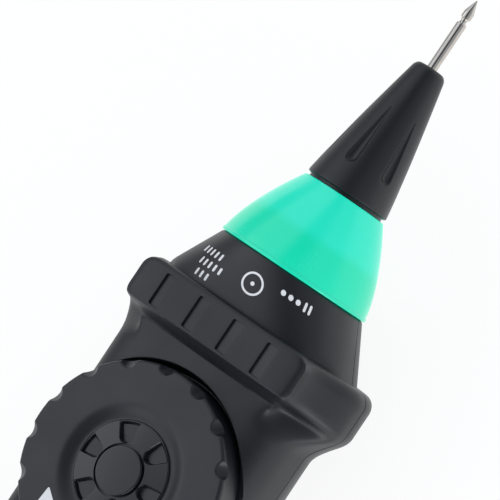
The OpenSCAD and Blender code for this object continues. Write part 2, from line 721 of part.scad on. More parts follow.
// Rotor under the dial: turns on a pin in the board, carries the contacts, and has a hexagon
// on top that drives the dial
key_hex_r = 2.1;
key_hex_h = 2.4;
module switch_rotor()
    color("#e6e2d8") at_origin() translate([dial_x, 0, 0]) rotate([0, 0, rest_angle]) difference() {
        union() {
            translate([0, 0, rotor_z]) cylinder(r = rotor_r, h = rotor_top - rotor_z, $fn = 64);
            translate([0, 0, rotor_top - 0.5]) cylinder(r = key_hex_r, h = key_hex_h, $fn = 6);
            translate([0, 0, board_z]) cylinder(r = pin_r, h = rotor_top - board_z, $fn = 48);
        }
        for (s = [-1, 1])
            translate([0, s * ball_ring_r, rotor_z + 0.6]) cylinder(r = ball_r + 0.05, h = beyond, $fn = 32);
    }

wiper_x = 4.2;
wiper_len = 5.2;
wiper_half_w = 0.7;
module rotor_wipers()
    color(gold) at_origin() translate([dial_x, 0, 0]) rotate([0, 0, rest_angle])
        for (a = [60, 180, 300])
            rotate([0, 0, a]) translate([wiper_x, 0, 0]) union() {
                bar([0, wiper_len], [-wiper_half_w, wiper_half_w], [rotor_z - 0.25, rotor_z]);
                bar([wiper_len - 1.2, wiper_len], [-wiper_half_w, wiper_half_w], [board_top + 0.1, rotor_z]);
            }

module detent_balls()
    color(metal) at_origin() translate([dial_x, 0, 0]) rotate([0, 0, rest_angle])
        for (s = [-1, 1]) translate([0, s * ball_ring_r, ball_z]) sphere(r = ball_r, $fn = 48);

// Coil of round wire about the z axis, from height z0 to z1, its radius going from r0 to r1
module coil(z0, z1, r0, r1, wire_r, turns, per_turn, sides)
    let (steps = turns * per_turn,
        rings = [for (i = [0:steps])
            let (t = i / steps, a = 360 * turns * t, r = r0 + (r1 - r0) * t, z = z0 + (z1 - z0) * t)
            [for (j = [0:sides - 1])
                let (q = 360 * j / sides, s = r + wire_r * cos(q))
                [s * cos(a), s * sin(a), z + wire_r * sin(q)]]])
    loft(rings);

detent_spring_r = 0.78;
detent_wire_r = 0.15;
module detent_springs()
    color(metal) at_origin() translate([dial_x, 0, 0]) rotate([0, 0, rest_angle])
        for (s = [-1, 1]) translate([0, s * ball_ring_r, 0])
            coil(rotor_z + 0.61 + detent_wire_r, ball_z - 0.67 - detent_wire_r, detent_spring_r,
                detent_spring_r - 0.06, detent_wire_r, 3, 10, 6);

// Keys
switch_w = 6;
switch_h = 3.4;
plunger_r = 1.7;
plunger_h = 4.3;
module key(k) {
    under = board_top + plunger_h + key_travel + 0.05;
    flange_z = inner_top - 0.25;
    color("#55565b") at_origin() translate([key_x + k * key_pitch, 0, 0]) {
        rounded_plate([key_w, key_len], key_w / 2 - 0.01, flange_z - 0.1, case_top + key_proud - 0.5);
        rounded_plate([key_w - 0.8, key_len - 0.8], key_w / 2 - 0.42, case_top, case_top + key_proud);
        rounded_plate([key_w + 1.6, key_len + 1.6], key_w / 2 + 0.6, flange_z - 0.8, flange_z);
        translate([0, 0, under]) cylinder(r = 1.8, h = flange_z - under, $fn = 32);
    }
}
module select_key() key(1);
module hold_key() key(0);
module range_key() key(-1);

module key_switches()
    color("#8d8f94") at_origin()
        for (k = [-1:1]) translate([key_x + k * key_pitch, 0, board_top]) union() {
            translate([-switch_w / 2, -switch_w / 2, 0]) cube([switch_w, switch_w, switch_h]);
            cylinder(r = plunger_r, h = plunger_h, $fn = 48);
        }

// Display
module display_lens()
    color("#9fb0a8") at_origin() translate([lens_x, 0, 0])
        rounded_plate([lens_len, lens_w], 2, case_top - lens_sink - lens_t + 0.02, case_top - lens_sink);

panel_t = 2.6;
panel_len = lens_len - 4;
panel_w = lens_w - 1;
panel_z = shelf_z - 0.1 - panel_t;
module display_panel()
    color("#b9c4b2") at_origin() translate([lens_x, 0, panel_z]) union() {
        translate([-panel_len / 2, -panel_w / 2, 1.1]) cube([panel_len, panel_w, panel_t - 1.1]);
        translate([-panel_len / 2 + 2.5, -panel_w / 2, 0]) cube([panel_len - 5, panel_w, 1.1]);
    }

module display_frame()
    color("#dfe3e2") at_origin() translate([lens_x, 0, board_top]) difference() {
        translate([-panel_len / 2 - 1.2, -panel_w / 2 - 0.4, 0])
            cube([panel_len + 2.4, panel_w + 0.8, panel_z - board_top + 1.8]);
        translate([-panel_len / 2 - 0.1, -panel_w / 2 + 1, -1]) cube([panel_len + 0.2, panel_w - 2, 20]);
        translate([-panel_len / 2 - 0.1, -panel_w / 2 - 0.1, panel_z - board_top])
            cube([panel_len + 0.2, panel_w + 0.2, 20]);
    }

module display_strips()
    color("#3a5f6f") at_origin()
        for (s = [-1, 1])
            translate([lens_x + s * (panel_len / 2 - 1.2) - 1.1, -panel_w / 2 + 1.2, board_top])
                cube([2.2, panel_w - 2.4, panel_z + 1.1 - board_top]);

// Board and what it carries
board_x0 = 24;
board_x1 = case_len - 0.8;
board_gap = 0.5;
module main_board()
    let (w0 = body_half_w(board_x0) - wall - board_gap, wm = case_w / 2 - wall - board_gap,
        xm = guard_back - 1, wn = neck_r - wall - 0.4)
    color("#2f6b3f") at_origin() translate([0, 0, board_z]) linear_extrude(board_t) difference() {
        polygon([[board_x0, -w0], [xm, -wm], [xm, -wn], [board_x1, -wn], [board_x1, wn], [xm, wn], [xm, wm],
            [board_x0, w0]]);
        translate([dial_x, 0]) circle(r = pin_r + running, $fn = 64);
        for (s = [-1, 1]) translate([front_post[0], s * front_post[1]]) circle(r = screw_r + 0.3, $fn = 32);
    }

chip_w = 11;
chip_t = 1.5;
lead_pitch = 1.1;
lead_size = [1.3, 0.4, 0.25];
module meter_chip()
    color("#26262a") at_origin() translate([lens_x, 0, board_top]) union() {
        translate([-chip_w / 2, -chip_w / 2, 0]) cube([chip_w, chip_w, chip_t]);
        for (a = [0:90:270], i = [-4:4])
            rotate([0, 0, a])
                translate([chip_w / 2 - 0.1, i * lead_pitch - lead_size[1] / 2, 0]) cube(lead_size);
    }

fuse_x = cover_end + 2;
fuse_y = 6;
fuse_z = board_z - 0.7 - fuse_r;
module fuse()
    color("#dfe6e8") at_origin() along_pen(fuse_x, fuse_z, -fuse_y)
        turned([[0, 0], [0, fuse_r], [5, fuse_r], [5, fuse_r - 0.2], [fuse_len - 5, fuse_r - 0.2],
            [fuse_len - 5, fuse_r], [fuse_len, fuse_r], [fuse_len, 0]]);

module fuse_clips()
    color(gold) at_origin()
        for (x = [fuse_x + 0.6, fuse_x + fuse_len - 4.6])
            difference() {
                bar([x, x + 4], [-fuse_y - fuse_r - 0.45, -fuse_y + fuse_r + 0.45], [fuse_z - 1.2, board_z]);
                along_pen(x - 1, fuse_z, -fuse_y) cylinder(r = fuse_r + 0.02, h = 6, $fn = 64);
                bar([x - 1, x + 5], [-fuse_y - 1.9, -fuse_y + 1.9], [fuse_z - 5, fuse_z]);
            }

buzzer_r = 5.5;
buzzer_h = 4.2;
module buzzer()
    color("#2b2b2e") at_origin() translate([fuse_x + 8, 5, board_z - buzzer_h]) difference() {
        cylinder(r = buzzer_r, h = buzzer_h, $fn = 64);
        translate([0, 0, -1]) cylinder(r = 0.9, h = 2.4, $fn = 32);
    }

// Battery cells, one each way round, each with its coil spring at the flat end
module cell()
    turned([[0, 0], [0, cell_r - 0.3], [0.3, cell_r], [cell_len - 1.5, cell_r],
        [cell_len - 1.2, cell_r - 0.3], [cell_len - 1.2, 1.9], [cell_len, 1.9], [cell_len, 0]]);
module cell_left()
    color("#4f7a4a") at_origin() along_pen(bay_x + plate_t + cell_spring_len, cell_z, cell_y) cell();
module cell_right()
    color("#4f7a4a") at_origin()
        translate([bay_end - plate_t - cell_spring_len, -cell_y, cell_z]) rotate([0, -90, 0]) cell();

module cell_contacts()
    color(metal) at_origin()
        for (x = [bay_x, bay_end - plate_t], s = [-1, 1])
            bar([x, x + plate_t], [s * cell_y - 4, s * cell_y + 4], [cell_z - 3.6, board_z]);

cell_spring_r = 3.8; // at its foot
cell_spring_tip_r = 2.2;
cell_wire_r = 0.3;
module cell_springs()
    color(metal) at_origin()
        for (s = [-1, 1])
            translate([s > 0 ? bay_x + plate_t : bay_end - plate_t, s * cell_y, cell_z])
                rotate([0, s * 90, 0])
                    coil(cell_wire_r + 0.02, cell_spring_len - cell_wire_r - 0.02, cell_spring_r,
                        cell_spring_tip_r, cell_wire_r, 3, 14, 6);

// Test lead socket in the tail, with a bent strip from its rear end to the board
socket_end = 1.5;
strip_t = 1;
strip_half_w = 1.6;
strip_in = 2.4;
strip_x = board_x0 + strip_in;
module lead_socket()
    color(gold) at_origin() union() {
        along_pen(socket_sink, socket_z) difference() {
            cylinder(r = socket_r + socket_wall, h = socket_depth + socket_end, $fn = 64);
            translate([0, 0, -1]) cylinder(r = socket_r, h = socket_depth + 1, $fn = 64);
        }
        bar([socket_depth + 1.2, strip_x + strip_t], [-strip_half_w, strip_half_w],
            [socket_z - strip_t / 2, socket_z + strip_t / 2]);
        bar([strip_x, strip_x + strip_t], [-strip_half_w, strip_half_w], [socket_z - strip_t / 2, board_z]);
    }

module socket_sleeve()
    color("#2c2c30") at_origin() along_pen(0.2, socket_z) difference() {
        cylinder(r = sleeve_r, h = socket_depth - 2, $fn = 64);
        translate([0, 0, -1]) cylinder(r = socket_r + socket_wall + 0.05, h = socket_depth + 2, $fn = 64);
    }

upper_case();
lower_case();
battery_cover();
cover_screw();
case_screws();
light_ring();
nose_cone();
nose_tube();
probe_needle();
probe_clip();
ring_lamps();
dial_knob();
dial_pointer();
switch_rotor();
rotor_wipers();
detent_balls();
detent_springs();
select_key();
hold_key();
range_key();
key_switches();
display_lens();
display_panel();
display_frame();
display_strips();
main_board();
meter_chip();
fuse();
fuse_clips();
buzzer();
cell_left();
cell_right();
cell_contacts();
cell_springs();
lead_socket();
socket_sleeve();
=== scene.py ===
"""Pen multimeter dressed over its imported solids: shells, nose, dial, keys, display and lamps.

Lengths in the classes are millimetres, x along the pen from its tail, as a maker's drawing gives
them. Skin.piece shifts them to the shared frame, which is in metres about the box's middle.
"""

import json
import logging
import math
from dataclasses import dataclass, field
from enum import Enum
from functools import cached_property
from typing import Any, Callable, Sequence

import bpy
import numpy as np
from mathutils import Matrix, Vector
from mathutils.geometry import delaunay_2d_cdt

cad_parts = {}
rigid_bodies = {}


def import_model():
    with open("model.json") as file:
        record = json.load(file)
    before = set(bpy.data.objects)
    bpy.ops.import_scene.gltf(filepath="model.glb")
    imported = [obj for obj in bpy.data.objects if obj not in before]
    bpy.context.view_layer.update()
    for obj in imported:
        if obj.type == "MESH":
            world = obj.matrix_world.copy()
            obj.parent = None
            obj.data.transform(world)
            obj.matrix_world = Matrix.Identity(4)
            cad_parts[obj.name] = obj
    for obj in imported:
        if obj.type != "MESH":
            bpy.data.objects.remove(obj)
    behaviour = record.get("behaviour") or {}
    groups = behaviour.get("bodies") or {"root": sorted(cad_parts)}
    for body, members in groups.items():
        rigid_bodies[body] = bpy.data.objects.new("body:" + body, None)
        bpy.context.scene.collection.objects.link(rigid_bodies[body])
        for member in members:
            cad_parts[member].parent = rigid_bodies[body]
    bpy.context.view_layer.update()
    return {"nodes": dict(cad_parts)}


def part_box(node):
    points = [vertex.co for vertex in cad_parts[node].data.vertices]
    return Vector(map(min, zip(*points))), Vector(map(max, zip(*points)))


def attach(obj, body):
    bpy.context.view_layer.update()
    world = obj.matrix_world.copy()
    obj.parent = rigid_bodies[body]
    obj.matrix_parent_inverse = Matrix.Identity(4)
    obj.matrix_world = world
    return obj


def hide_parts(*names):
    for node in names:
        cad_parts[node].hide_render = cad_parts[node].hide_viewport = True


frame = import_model()

MM = 0.001
TOTAL_LEN = 207.9
CASE_LEN = 156.0
AXIS_Z = 17.4
SPLIT_Z = 16.0
# Points in a section of a sheet.
ACROSS = 601
# A noise's values between which it changes most.
USUAL = (0.3, 0.7)

Array = np.ndarray
Tree = bpy.types.NodeTree
Socket = bpy.types.NodeSocket
Pair = tuple[float, float]
Point = tuple[float, float, float]
# A finish's layers and what feeds the shader's other inputs.
Recipe = tuple[list["Layer"], dict[str, Any]]

log = logging.getLogger("pen_multimeter")


class Slot(Enum):
    """The record's material slots."""

    CASE = "case_black"
    DIAL = "dial_black"
    KEY = "key_grey"
    RING = "ring_green"
    NEEDLE = "needle_nickel"
    STEEL = "zinc_steel"
    BRASS = "contact_brass"
    NYLON = "natural_nylon"
    MARK = "mark_white"
    LAMP = "lamp_clear"
    LENS = "lens_clear"
    GLASS = "display_glass"
    STRIP = "strip_rubber"
    BOARD = "board_green"
    EPOXY = "component_black"
    FUSE = "fuse_glass"
    JACKET = "cell_jacket"


def to_linear(code: str) -> tuple[float, ...]:
    """Turns an sRGB hex value into linear colour.

    Args:
        code: Six hex digits with a leading #.

    Returns:
        Red, green, blue and alpha 1, linear. Each channel is c / 12.92 below 0.04045 and
        ((c + 0.055) / 1.055) to the power 2.4 above it.
    """
    parts = np.array([int(code[i:i + 2], 16) / 255 for i in (1, 3, 5)])
    linear = np.where(parts <= 0.04045, parts / 12.92, ((parts + 0.055) / 1.055) ** 2.4)
    return (*linear.tolist(), 1.0)


def feed(tree: Tree, socket: Socket, value: Any) -> None:
    """Links what feeds a socket, or sets its value.

    Args:
        tree: The node tree.
        socket: The input.
        value: A node, whose first live output is taken, a socket, or a plain value.
    """
    if isinstance(value, bpy.types.Node):
        value = next(out for out in value.outputs if out.enabled)
    if isinstance(value, Socket):
        tree.links.new(value, socket)
    else:
        socket.default_value = value


def add(tree: Tree, kind: str, *plugs: Any, **others: Any) -> bpy.types.Node:
    """Adds one node with its settings and links.

    Args:
        tree: The material's or world's node tree.
        kind: The node's type name, without ShaderNode.
        plugs: What feeds its live inputs, in their order.
        others: Settings by their names, and inputs by theirs with _ for a space. An input's
            name starts with a capital letter.

    Returns:
        The new node.
    """
    made = tree.nodes.new("ShaderNode" + kind)
    for name, value in others.items():
        if name[0].islower():
            setattr(made, name, value)
    for socket, value in zip([live for live in made.inputs if live.enabled], plugs):
        feed(tree, socket, value)
    for name, value in others.items():
        if name[0].isupper():
            feed(tree, made.inputs[name.replace("_", " ")], value)
    return made


class Pattern(Enum):
    """Patterns that a finish is drawn with, by their node types."""

    NOISE = "TexNoise"
    WAVE = "TexWave"
    BRICK = "TexBrick"


@dataclass(frozen=True)
class Layer:
    """One pattern of a finish. It reads Object coordinates, which are metres."""

    size_mm: float  # Size of what repeats
    others: dict[str, Any]  # The pattern's own inputs and settings
    depth_mm: float = 0.0  # Its height as a bump, or 0
    # Its values at the first and the second colour, and how much of the second each brings
    tint: tuple[float, ...] = ()
    stretch: tuple[float, ...] = ()  # How much finer it is along each axis
    cut: tuple[float, ...] = ()  # Values that become 0 and 1 before anything else
    kind: Pattern = Pattern.NOISE  # What it is drawn with

    def draw(self, tree: Tree, place: Socket) -> Any:
        """Adds the pattern's nodes.

        Args:
            tree: The material's nodes.
            place: Object coordinates.

        Returns:
            What gives its value. Its scale is 1 / size, and a wave repeats every 2 pi / 20.
        """
        if self.stretch:
            place = add(tree, "Mapping", Vector=place, Scale=self.stretch)
        scale = (math.pi / 10 if self.kind is Pattern.WAVE else 1) / (self.size_mm * MM)
        drawn = add(tree, self.kind.value, Vector=place, Scale=scale, **self.others).outputs["Fac"]
        return add(tree, "MapRange", drawn, *self.cut, 0, 1) if self.cut else drawn


@dataclass(frozen=True)
class Finish:
    """A finish of the real thing that becomes one material."""

    name: str  # The real material and how its surface was made
    slot: Slot  # The record's slot that it belongs to
    shade: str = "#131419"  # Main colour
    second: str = "#18191F"  # Colour that the pattern brings in
    rough: Pair = (0.5, 0.4)  # Roughness at the first layer's low and high values

    def recipe(self) -> Recipe:
        """The layers, from the top one down, and the shader's other inputs by their names."""
        raise NotImplementedError

    def share(self, tree: Tree, place: Socket, tint: Any) -> Any:
        """What gives the share of the second colour: the tint by the layers, unless a kind adds to it."""
        return tint

    def make(self) -> bpy.types.Material:
        """Builds the material the first time, and hands the same one out after that.

        Returns:
            The material. An input that is a pair goes from the first value to the second with
            the share of the second colour.
        """
        if self.name in bpy.data.materials:
            return bpy.data.materials[self.name]
        made = bpy.data.materials.new(self.name)
        made.use_nodes = True
        tree = made.node_tree
        place = add(tree, "TexCoord").outputs["Object"]
        layers, fed = self.recipe()
        drawn = [layer.draw(tree, place) for layer in layers]
        tint = None
        for layer, value in zip(layers[::-1], drawn[::-1]):
            if layer.tint:
                tint = add(tree, "MapRange", value, *layer.tint)
            if layer.depth_mm:
                below = {"Normal": fed["Normal"]} if "Normal" in fed else {}
                fed["Normal"] = add(tree, "Bump", Height=value, Distance=layer.depth_mm * MM, **below)
        share = self.share(tree, place, tint)
        fed["Base Color"] = add(tree, "Mix", share, to_linear(self.shade), to_linear(self.second),
                                data_type="RGBA")
        fed["Roughness"] = add(tree, "MapRange", drawn[0], *USUAL, *self.rough)
        # A finish that glows has painted light: its emission takes the same colours as its surface.
        if "Emission Strength" in fed:
            fed["Emission Color"] = fed["Base Color"]
        for name, value in fed.items():
            if isinstance(value, tuple):
                value = add(tree, "MapRange", share, 0, 1, *value)
            feed(tree, tree.nodes["Principled BSDF"].inputs[name], value)
        return made


@dataclass(frozen=True)
class MouldedPlastic(Finish):
    """Injection-moulded plastic. The mould's spark-eroded face leaves a fine even grain that
    breaks the light into a satin sheen, handling polishes it in soft patches, and thin hairlines
    cross it where it has been laid down."""

    grain_mm: float = 0.16  # Size of the grain. Real grain is 0.05 to 0.2 mm.
    depth_mm: float = 0.006  # Height of the grain
    ior: float = 1.54  # Refractive index of the plastic
    sheen: float = 0.0  # Dusty bloom at grazing angles, for a soft elastomer
    glow: float = 0.0  # Share of light that passes through thin walls

    def recipe(self) -> Recipe:
        """Wear over the mould's grain.

        Returns:
            Patches of handling, hairlines as a faint bump, and the grain below them.
        """
        return [Layer(9.0, {"Detail": 4}, 0, (*USUAL, 0, 1)),
                Layer(2.5, {"Detail": 1}, self.depth_mm / 4, stretch=(0.12, 6, 1), cut=(0.66, 0.72)),
                Layer(self.grain_mm, {"Detail": 2}, self.depth_mm)], {
            "IOR": self.ior, "Sheen Weight": self.sheen, "Sheen Roughness": 0.4,
            "Subsurface Weight": self.glow, "Subsurface Scale": 1.5 * MM}


@dataclass(frozen=True)
class PlatedMetal(Finish):
    """Metal, turned or stamped and then plated. Tool lines run round or along it, and thin plate
    gives soft cloudy patches and, on zinc, a faint yellow and blue tinge."""

    line_mm: float = 0.12  # Distance of the tool lines. Real lines are 0.02 to 0.1 mm.
    line_way: tuple[float, ...] = (1.0, 0.08, 0.08)  # How much finer the lines are along each axis
    depth_mm: float = 0.0015  # Depth of the lines

    def recipe(self) -> Recipe:
        """Clouds of the plate over the tool lines."""
        return [Layer(1.6, {"Detail": 3}, 0, (*USUAL, 0, 1)),
                Layer(self.line_mm, {"Detail": 2}, self.depth_mm, stretch=self.line_way)], {"Metallic": 1.0}


@dataclass(frozen=True)
class LitPolycarbonate(Finish):
    """Polished translucent green polycarbonate with lamps behind it. Their light is a painted glow in
    its own colour: deep green towards its base, paler where a milky collar lies behind its front
    half, with a clear glossy skin."""

    collar: Pair = (0.0, 1.4)  # Where the collar's blurred edge starts and ends along the pen, in mm

    def recipe(self) -> Recipe:
        """Flow marks of the moulding, which cloud the collar's edge."""
        return [Layer(4.0, {"Detail": 3}, 0.02, (*USUAL, -0.18, 0.18), (0.5, 1, 1))], {
            # Painted glow: the lamps' light is given as emission, in the ring's own colours.
            "Emission Strength": 0.56, "Transmission Weight": 0.12, "IOR": 1.58}

    def share(self, tree: Tree, place: Socket, tint: Any) -> Any:
        """Adds a ramp of the place along the pen to the tint."""
        edge = add(tree, "MapRange", add(tree, "SeparateXYZ", place), *(x * MM for x in self.collar), 0, 1)
        return add(tree, "Math", edge, tint, operation="ADD")


@dataclass(frozen=True)
class ClearPlastic(Finish):
    """Clear cast plastic or glass: it shows what lies behind it, a clean reflection, and the
    faint waviness and fine wipe marks of a screen in use."""

    ior: float = 1.49  # Refractive index
    clear: float = 1.0  # Share of light that passes

    def recipe(self) -> Recipe:
        """Wipe marks with a trace of tint over a very low waviness."""
        return [Layer(3.0, {"Detail": 4}, 0, (*USUAL, 0, 0.12), (0.3, 1.4, 1)),
                Layer(12.0, {"Detail": 0}, 0.02)], {"IOR": self.ior, "Transmission Weight": self.clear}


@dataclass(frozen=True)
class Grained(Finish):
    """A plain body colour with a fine speckle of a second one: the reflector of a display cell
    behind its film, or a pad-printed ink whose pinholes show the plastic's grain."""

    grain_mm: float = 0.22  # Size of the speckle
    start: float = 0.6  # Value of the noise at which the speckle starts
    depth_mm: float = 0.004  # Height of the speckle
    gloss: float = 0.0  # Clear film over it

    def recipe(self) -> Recipe:
        """The speckle as tint, roughness and bump."""
        return [Layer(self.grain_mm, {"Detail": 2}, self.depth_mm,
                      (self.start, self.start + 0.15, 0, 0.35))], {"IOR": 1.52, "Coat Weight": self.gloss}


@dataclass(frozen=True)
class SolderMask(Finish):
    """Glass-epoxy board under green solder mask: a ground woven of 0.5 mm cloth that shows as a
    faint pattern, a wet gloss, and paler copper tracks 1 mm apart below the mask."""

    def recipe(self) -> Recipe:
        """Cloth over copper.

        Returns:
            The weave over the tracks, which bring the second colour.
        """
        return [Layer(0.5, {"Distortion": 0.4}, 0.002, kind=Pattern.WAVE),
                Layer(3.2, {"Mortar_Size": 0.06, "Brick_Width": 0.9, "Row_Height": 0.3}, 0.02, (0, 1, 0, 1),
                      kind=Pattern.BRICK)], {"Coat Weight": 0.4}


@dataclass(frozen=True)
class StripedRubber(Finish):
    """Elastomer connector strip: pale silicone with thin dark conducting layers 0.4 mm apart,
    seen as a fine ladder along the strip. Real layers are 0.1 mm and too fine to show."""

    def recipe(self) -> Recipe:
        """The conducting layers across the pen."""
        return [Layer(0.4, {"bands_direction": "Y"}, 0.01, (0.45, 0.55, 0, 1), kind=Pattern.WAVE)], {}


@dataclass(frozen=True)
class Banded(Finish):
    """A round part in two finishes with a sharp border: a steel cell whose printed film has a
    band at one end, or a fuse whose glass sits between nickel caps."""

    start_mm: float = 0.0  # Where the band of the second colour starts along the pen
    end_mm: float = 10.0  # Where it ends
    metallic: float | Pair = 0.35  # Metal, or metal outside and inside the band
    clear: float | Pair = 0.0  # Share of light that passes, or the share outside and inside the band
    wave_mm: float = 5.0  # Size of the film's waves, or of the flux in the glass

    def recipe(self) -> Recipe:
        """Waves of the film or the flux."""
        return [Layer(self.wave_mm, {"Detail": 3}, 0.01)], {"Metallic": self.metallic,
                                                            "Transmission Weight": self.clear}

    def share(self, tree: Tree, place: Socket, tint: Any) -> Any:
        """Share of the second colour: the band.

        Args:
            tree: The material's nodes.
            place: Object coordinates.
            tint: What the layers give, which no band needs.

        Returns:
            The product of its two edges, which are ramps 0.05 mm wide along the pen.
        """
        along = add(tree, "SeparateXYZ", place)
        edges = [add(tree, "MapRange", along, x * MM, (x + 0.05) * MM, low, 1 - low)
                 for x, low in ((self.start_mm, 0), (self.end_mm, 1))]
        return add(tree, "Math", *edges, operation="MULTIPLY")


# Satin black with a soft even sheen, a shade lighter where hands polish it.
CASE_ABS = MouldedPlastic("ABS moulded satin black", Slot.CASE)
# The same black from a finer mould, so edges catch a slightly tighter light.
DIAL_ABS = MouldedPlastic(
    "ABS moulded fine satin charcoal", Slot.DIAL, "#15161B", "#1A1B21", (0.46, 0.36), 0.12, 0.004)
# Nearly gloss, with clear highlights in its pockets.
HUB_ABS = MouldedPlastic(
    "ABS moulded from a polished tool", Slot.DIAL, "#111217", "#16171C", (0.28, 0.2), 0.3, 0.002)
# Dense black with a slightly waxy sheen.
CONE_PA = MouldedPlastic(
    "Polyamide moulded and blasted black", Slot.CASE, "#111216", "#16171B", (0.48, 0.38), 0.13, 0.005, 1.53)
# Soft mid grey with a dusty bloom towards the edges.
KEY_RUBBER = MouldedPlastic(
    "Silicone moulded matt grey", Slot.KEY, "#5B5C61", "#66676C", (0.72, 0.6), 0.2, 0.008, 1.41, sheen=0.25)
# Matt black chip and buzzer bodies with a sandy face.
EPOXY = MouldedPlastic(
    "Epoxy transfer moulded black", Slot.EPOXY, "#26262A", "#2E2E32", (0.62, 0.5), 0.1, 0.008)
# Milky and slightly see-through.
NYLON = MouldedPlastic(
    "Nylon moulded natural", Slot.NYLON, "#DEDCD0", "#CFCDC0", (0.48, 0.36), 0.25, 0.006, 1.53, glow=0.25)
# Switched segments: a soft greenish black.
SEGMENT = MouldedPlastic(
    "Liquid crystal switched dark", Slot.GLASS, "#22261F", "#2A2E26", (0.4, 0.3), 0.25, 0.001)
# Clean white insert, smooth and slightly glossy.
POINTER_FILL = MouldedPlastic(
    "Polystyrene moulded white insert", Slot.MARK, "#E9E9E9", "#E0E0DF", (0.42, 0.3), 0.2, 0.003, 1.59)
# Bright warm silver with fine turning lines.
NICKEL = PlatedMetal("Brass turned and bright nickel plated", Slot.NEEDLE, "#D3CEC6", "#C6C1B9", (0.12, 0.22))
# Dull silver with yellow and blue clouds.
ZINC = PlatedMetal(
    "Steel cold headed and zinc plated", Slot.STEEL, "#B9BCBF", "#C3BFB2", (0.26, 0.4), 0.2, (1, 1, 0.2),
    0.003)
# Warm yellow with darker patches where it has been handled.
BRASS = PlatedMetal(
    "Brass stamped bright", Slot.BRASS, "#D2B36A", "#C29E54", (0.2, 0.34), 0.15, (0.15, 1.0, 1.0), 0.002)
# Clear, with faint wipe marks in its reflection.
ACRYLIC = ClearPlastic("Acrylic cast and polished", Slot.LENS, "#F4F8F7", "#C9D2D0", (0.02, 0.07))
# Clear lamp bodies, slightly clouded.
LAMP_EPOXY = ClearPlastic("Epoxy cast clear", Slot.LAMP, "#EAF7F1", "#C9D2D0", (0.05, 0.15), 1.53, 0.85)
# Deep gloss black frame round the window.
BORDER = ClearPlastic(
    "Acrylic with black printed back", Slot.LENS, "#0B0B0C", "#2A2B2D", (0.04, 0.08), clear=0.0)
# Grey-green film over a reflector with a fine sparkle.
CRYSTAL = Grained(
    "Glass cell with polarizer film", Slot.GLASS, "#A9B39C", "#7D8873", (0.28, 0.42), 0.25, 0.5, 0.003, 0.5)
# Matt white ink, slightly raised, with pinholes.
INK = Grained("Ink pad printed white", Slot.MARK, "#EDEDED", "#6E6E70", (0.5, 0.62))
# Deep green with a wet gloss and paler lines under it.
BOARD = SolderMask("Glass epoxy under green solder mask", Slot.BOARD, "#1D5A30", "#3A7A45", (0.2, 0.28))
# A fine ladder of slate and pale blue-grey.
ZEBRA = StripedRubber("Silicone layered with carbon", Slot.STRIP, "#2E3A42", "#8FA6B2", (0.62, 0.56))


def ease(t: Array) -> Array:
    """Smooth step: 3 t squared minus 2 t cubed, held at 0 and 1."""
    c = np.clip(t, 0, 1)
    return c * c * (3 - 2 * c)


def ramp(x: Array, x0: float, x1: float, a: Array, b: Array) -> Array:
    """Straight change from a at x0 to b at x1, held beyond them."""
    return a + (b - a) * np.clip((x - x0) / (x1 - x0), 0, 1)


def bend(x: Array, x0: float, x1: float, a: Array, b: Array) -> Array:
    """Smooth change from a at x0 to b at x1, held beyond them."""
    return a + (b - a) * ease((x - x0) / (x1 - x0))


def quarter(t: Array) -> Array:
    """Quarter circle: 1 minus the root of 1 - t squared, from 0 to 1."""
    return 1 - np.sqrt(np.maximum(0, 1 - np.clip(t, 0, 1) ** 2))


def soft_min(a: Array, b: Array, k: float) -> Array:
    """Lower of two surfaces with the edge between them rounded: mixed over k, less k h (1 - h)."""
    h = np.clip(0.5 + 0.5 * (b - a) / k, 0, 1)
    return b * (1 - h) + a * h - k * h * (1 - h)


def around(count: int) -> Array:
    """Angles of a full turn in radians, without the last one, which is the first again."""
    return np.arange(count) * 2 * math.pi / count


def circle(radius: float, count: int) -> Array:
    """Circle about the origin as evenly spaced points."""
    return radius * np.column_stack([np.cos(around(count)), np.sin(around(count))])


def unit(vectors: Array) -> Array:
    """Vectors divided by their lengths."""
    return vectors / np.maximum(np.linalg.norm(vectors, axis=1, keepdims=True), 1e-12)


def run_of(line: Array) -> Array:
    """Length of a line up to each of its points."""
    return np.append(0, np.cumsum(np.linalg.norm(np.diff(line, axis=0), axis=1)))


def swept(start: float, end: float, count: int) -> Array:
    """Evenly spaced angles in radians from start to end, in quarter turns."""
    return np.linspace(start, end, count) * math.pi / 2


def put(name: str, data: Any) -> bpy.types.Object:
    """Makes an object of its data and links it into the scene.

    Args:
        name: Its name.
        data: Its mesh, camera or lamp.

    Returns:
        The object.
    """
    made = bpy.data.objects.new(name, data)
    bpy.context.scene.collection.objects.link(made)
    return made


def nearest(count: int, r: Array, a: Array) -> tuple[Array, Array]:
    """Distances along and, with its sign, across the nearest of count rays, the first at angle 0."""
    off = (a + math.pi / count) % (2 * math.pi / count) - math.pi / count
    return r * np.cos(off), r * np.sin(off)


def layers(profile: Sequence[tuple[Array, float]], x: float = 0.0) -> Array:
    """Rows of flat n x 2 outlines about x at their heights, as rows x n x 3 points."""
    return np.stack([np.column_stack([line, np.full(len(line), z)]) for line, z in profile]) + [x, 0, 0]


def swung(profile: Sequence[Pair], count: int) -> Array:
    """Places along the x axis and radii swung round it, as rows x count x 3 points."""
    line, a = np.array(profile, float)[:, :, None], around(count)
    return np.stack([line[:, 0] + 0 * a, line[:, 1] * np.cos(a), line[:, 1] * np.sin(a)], 2)


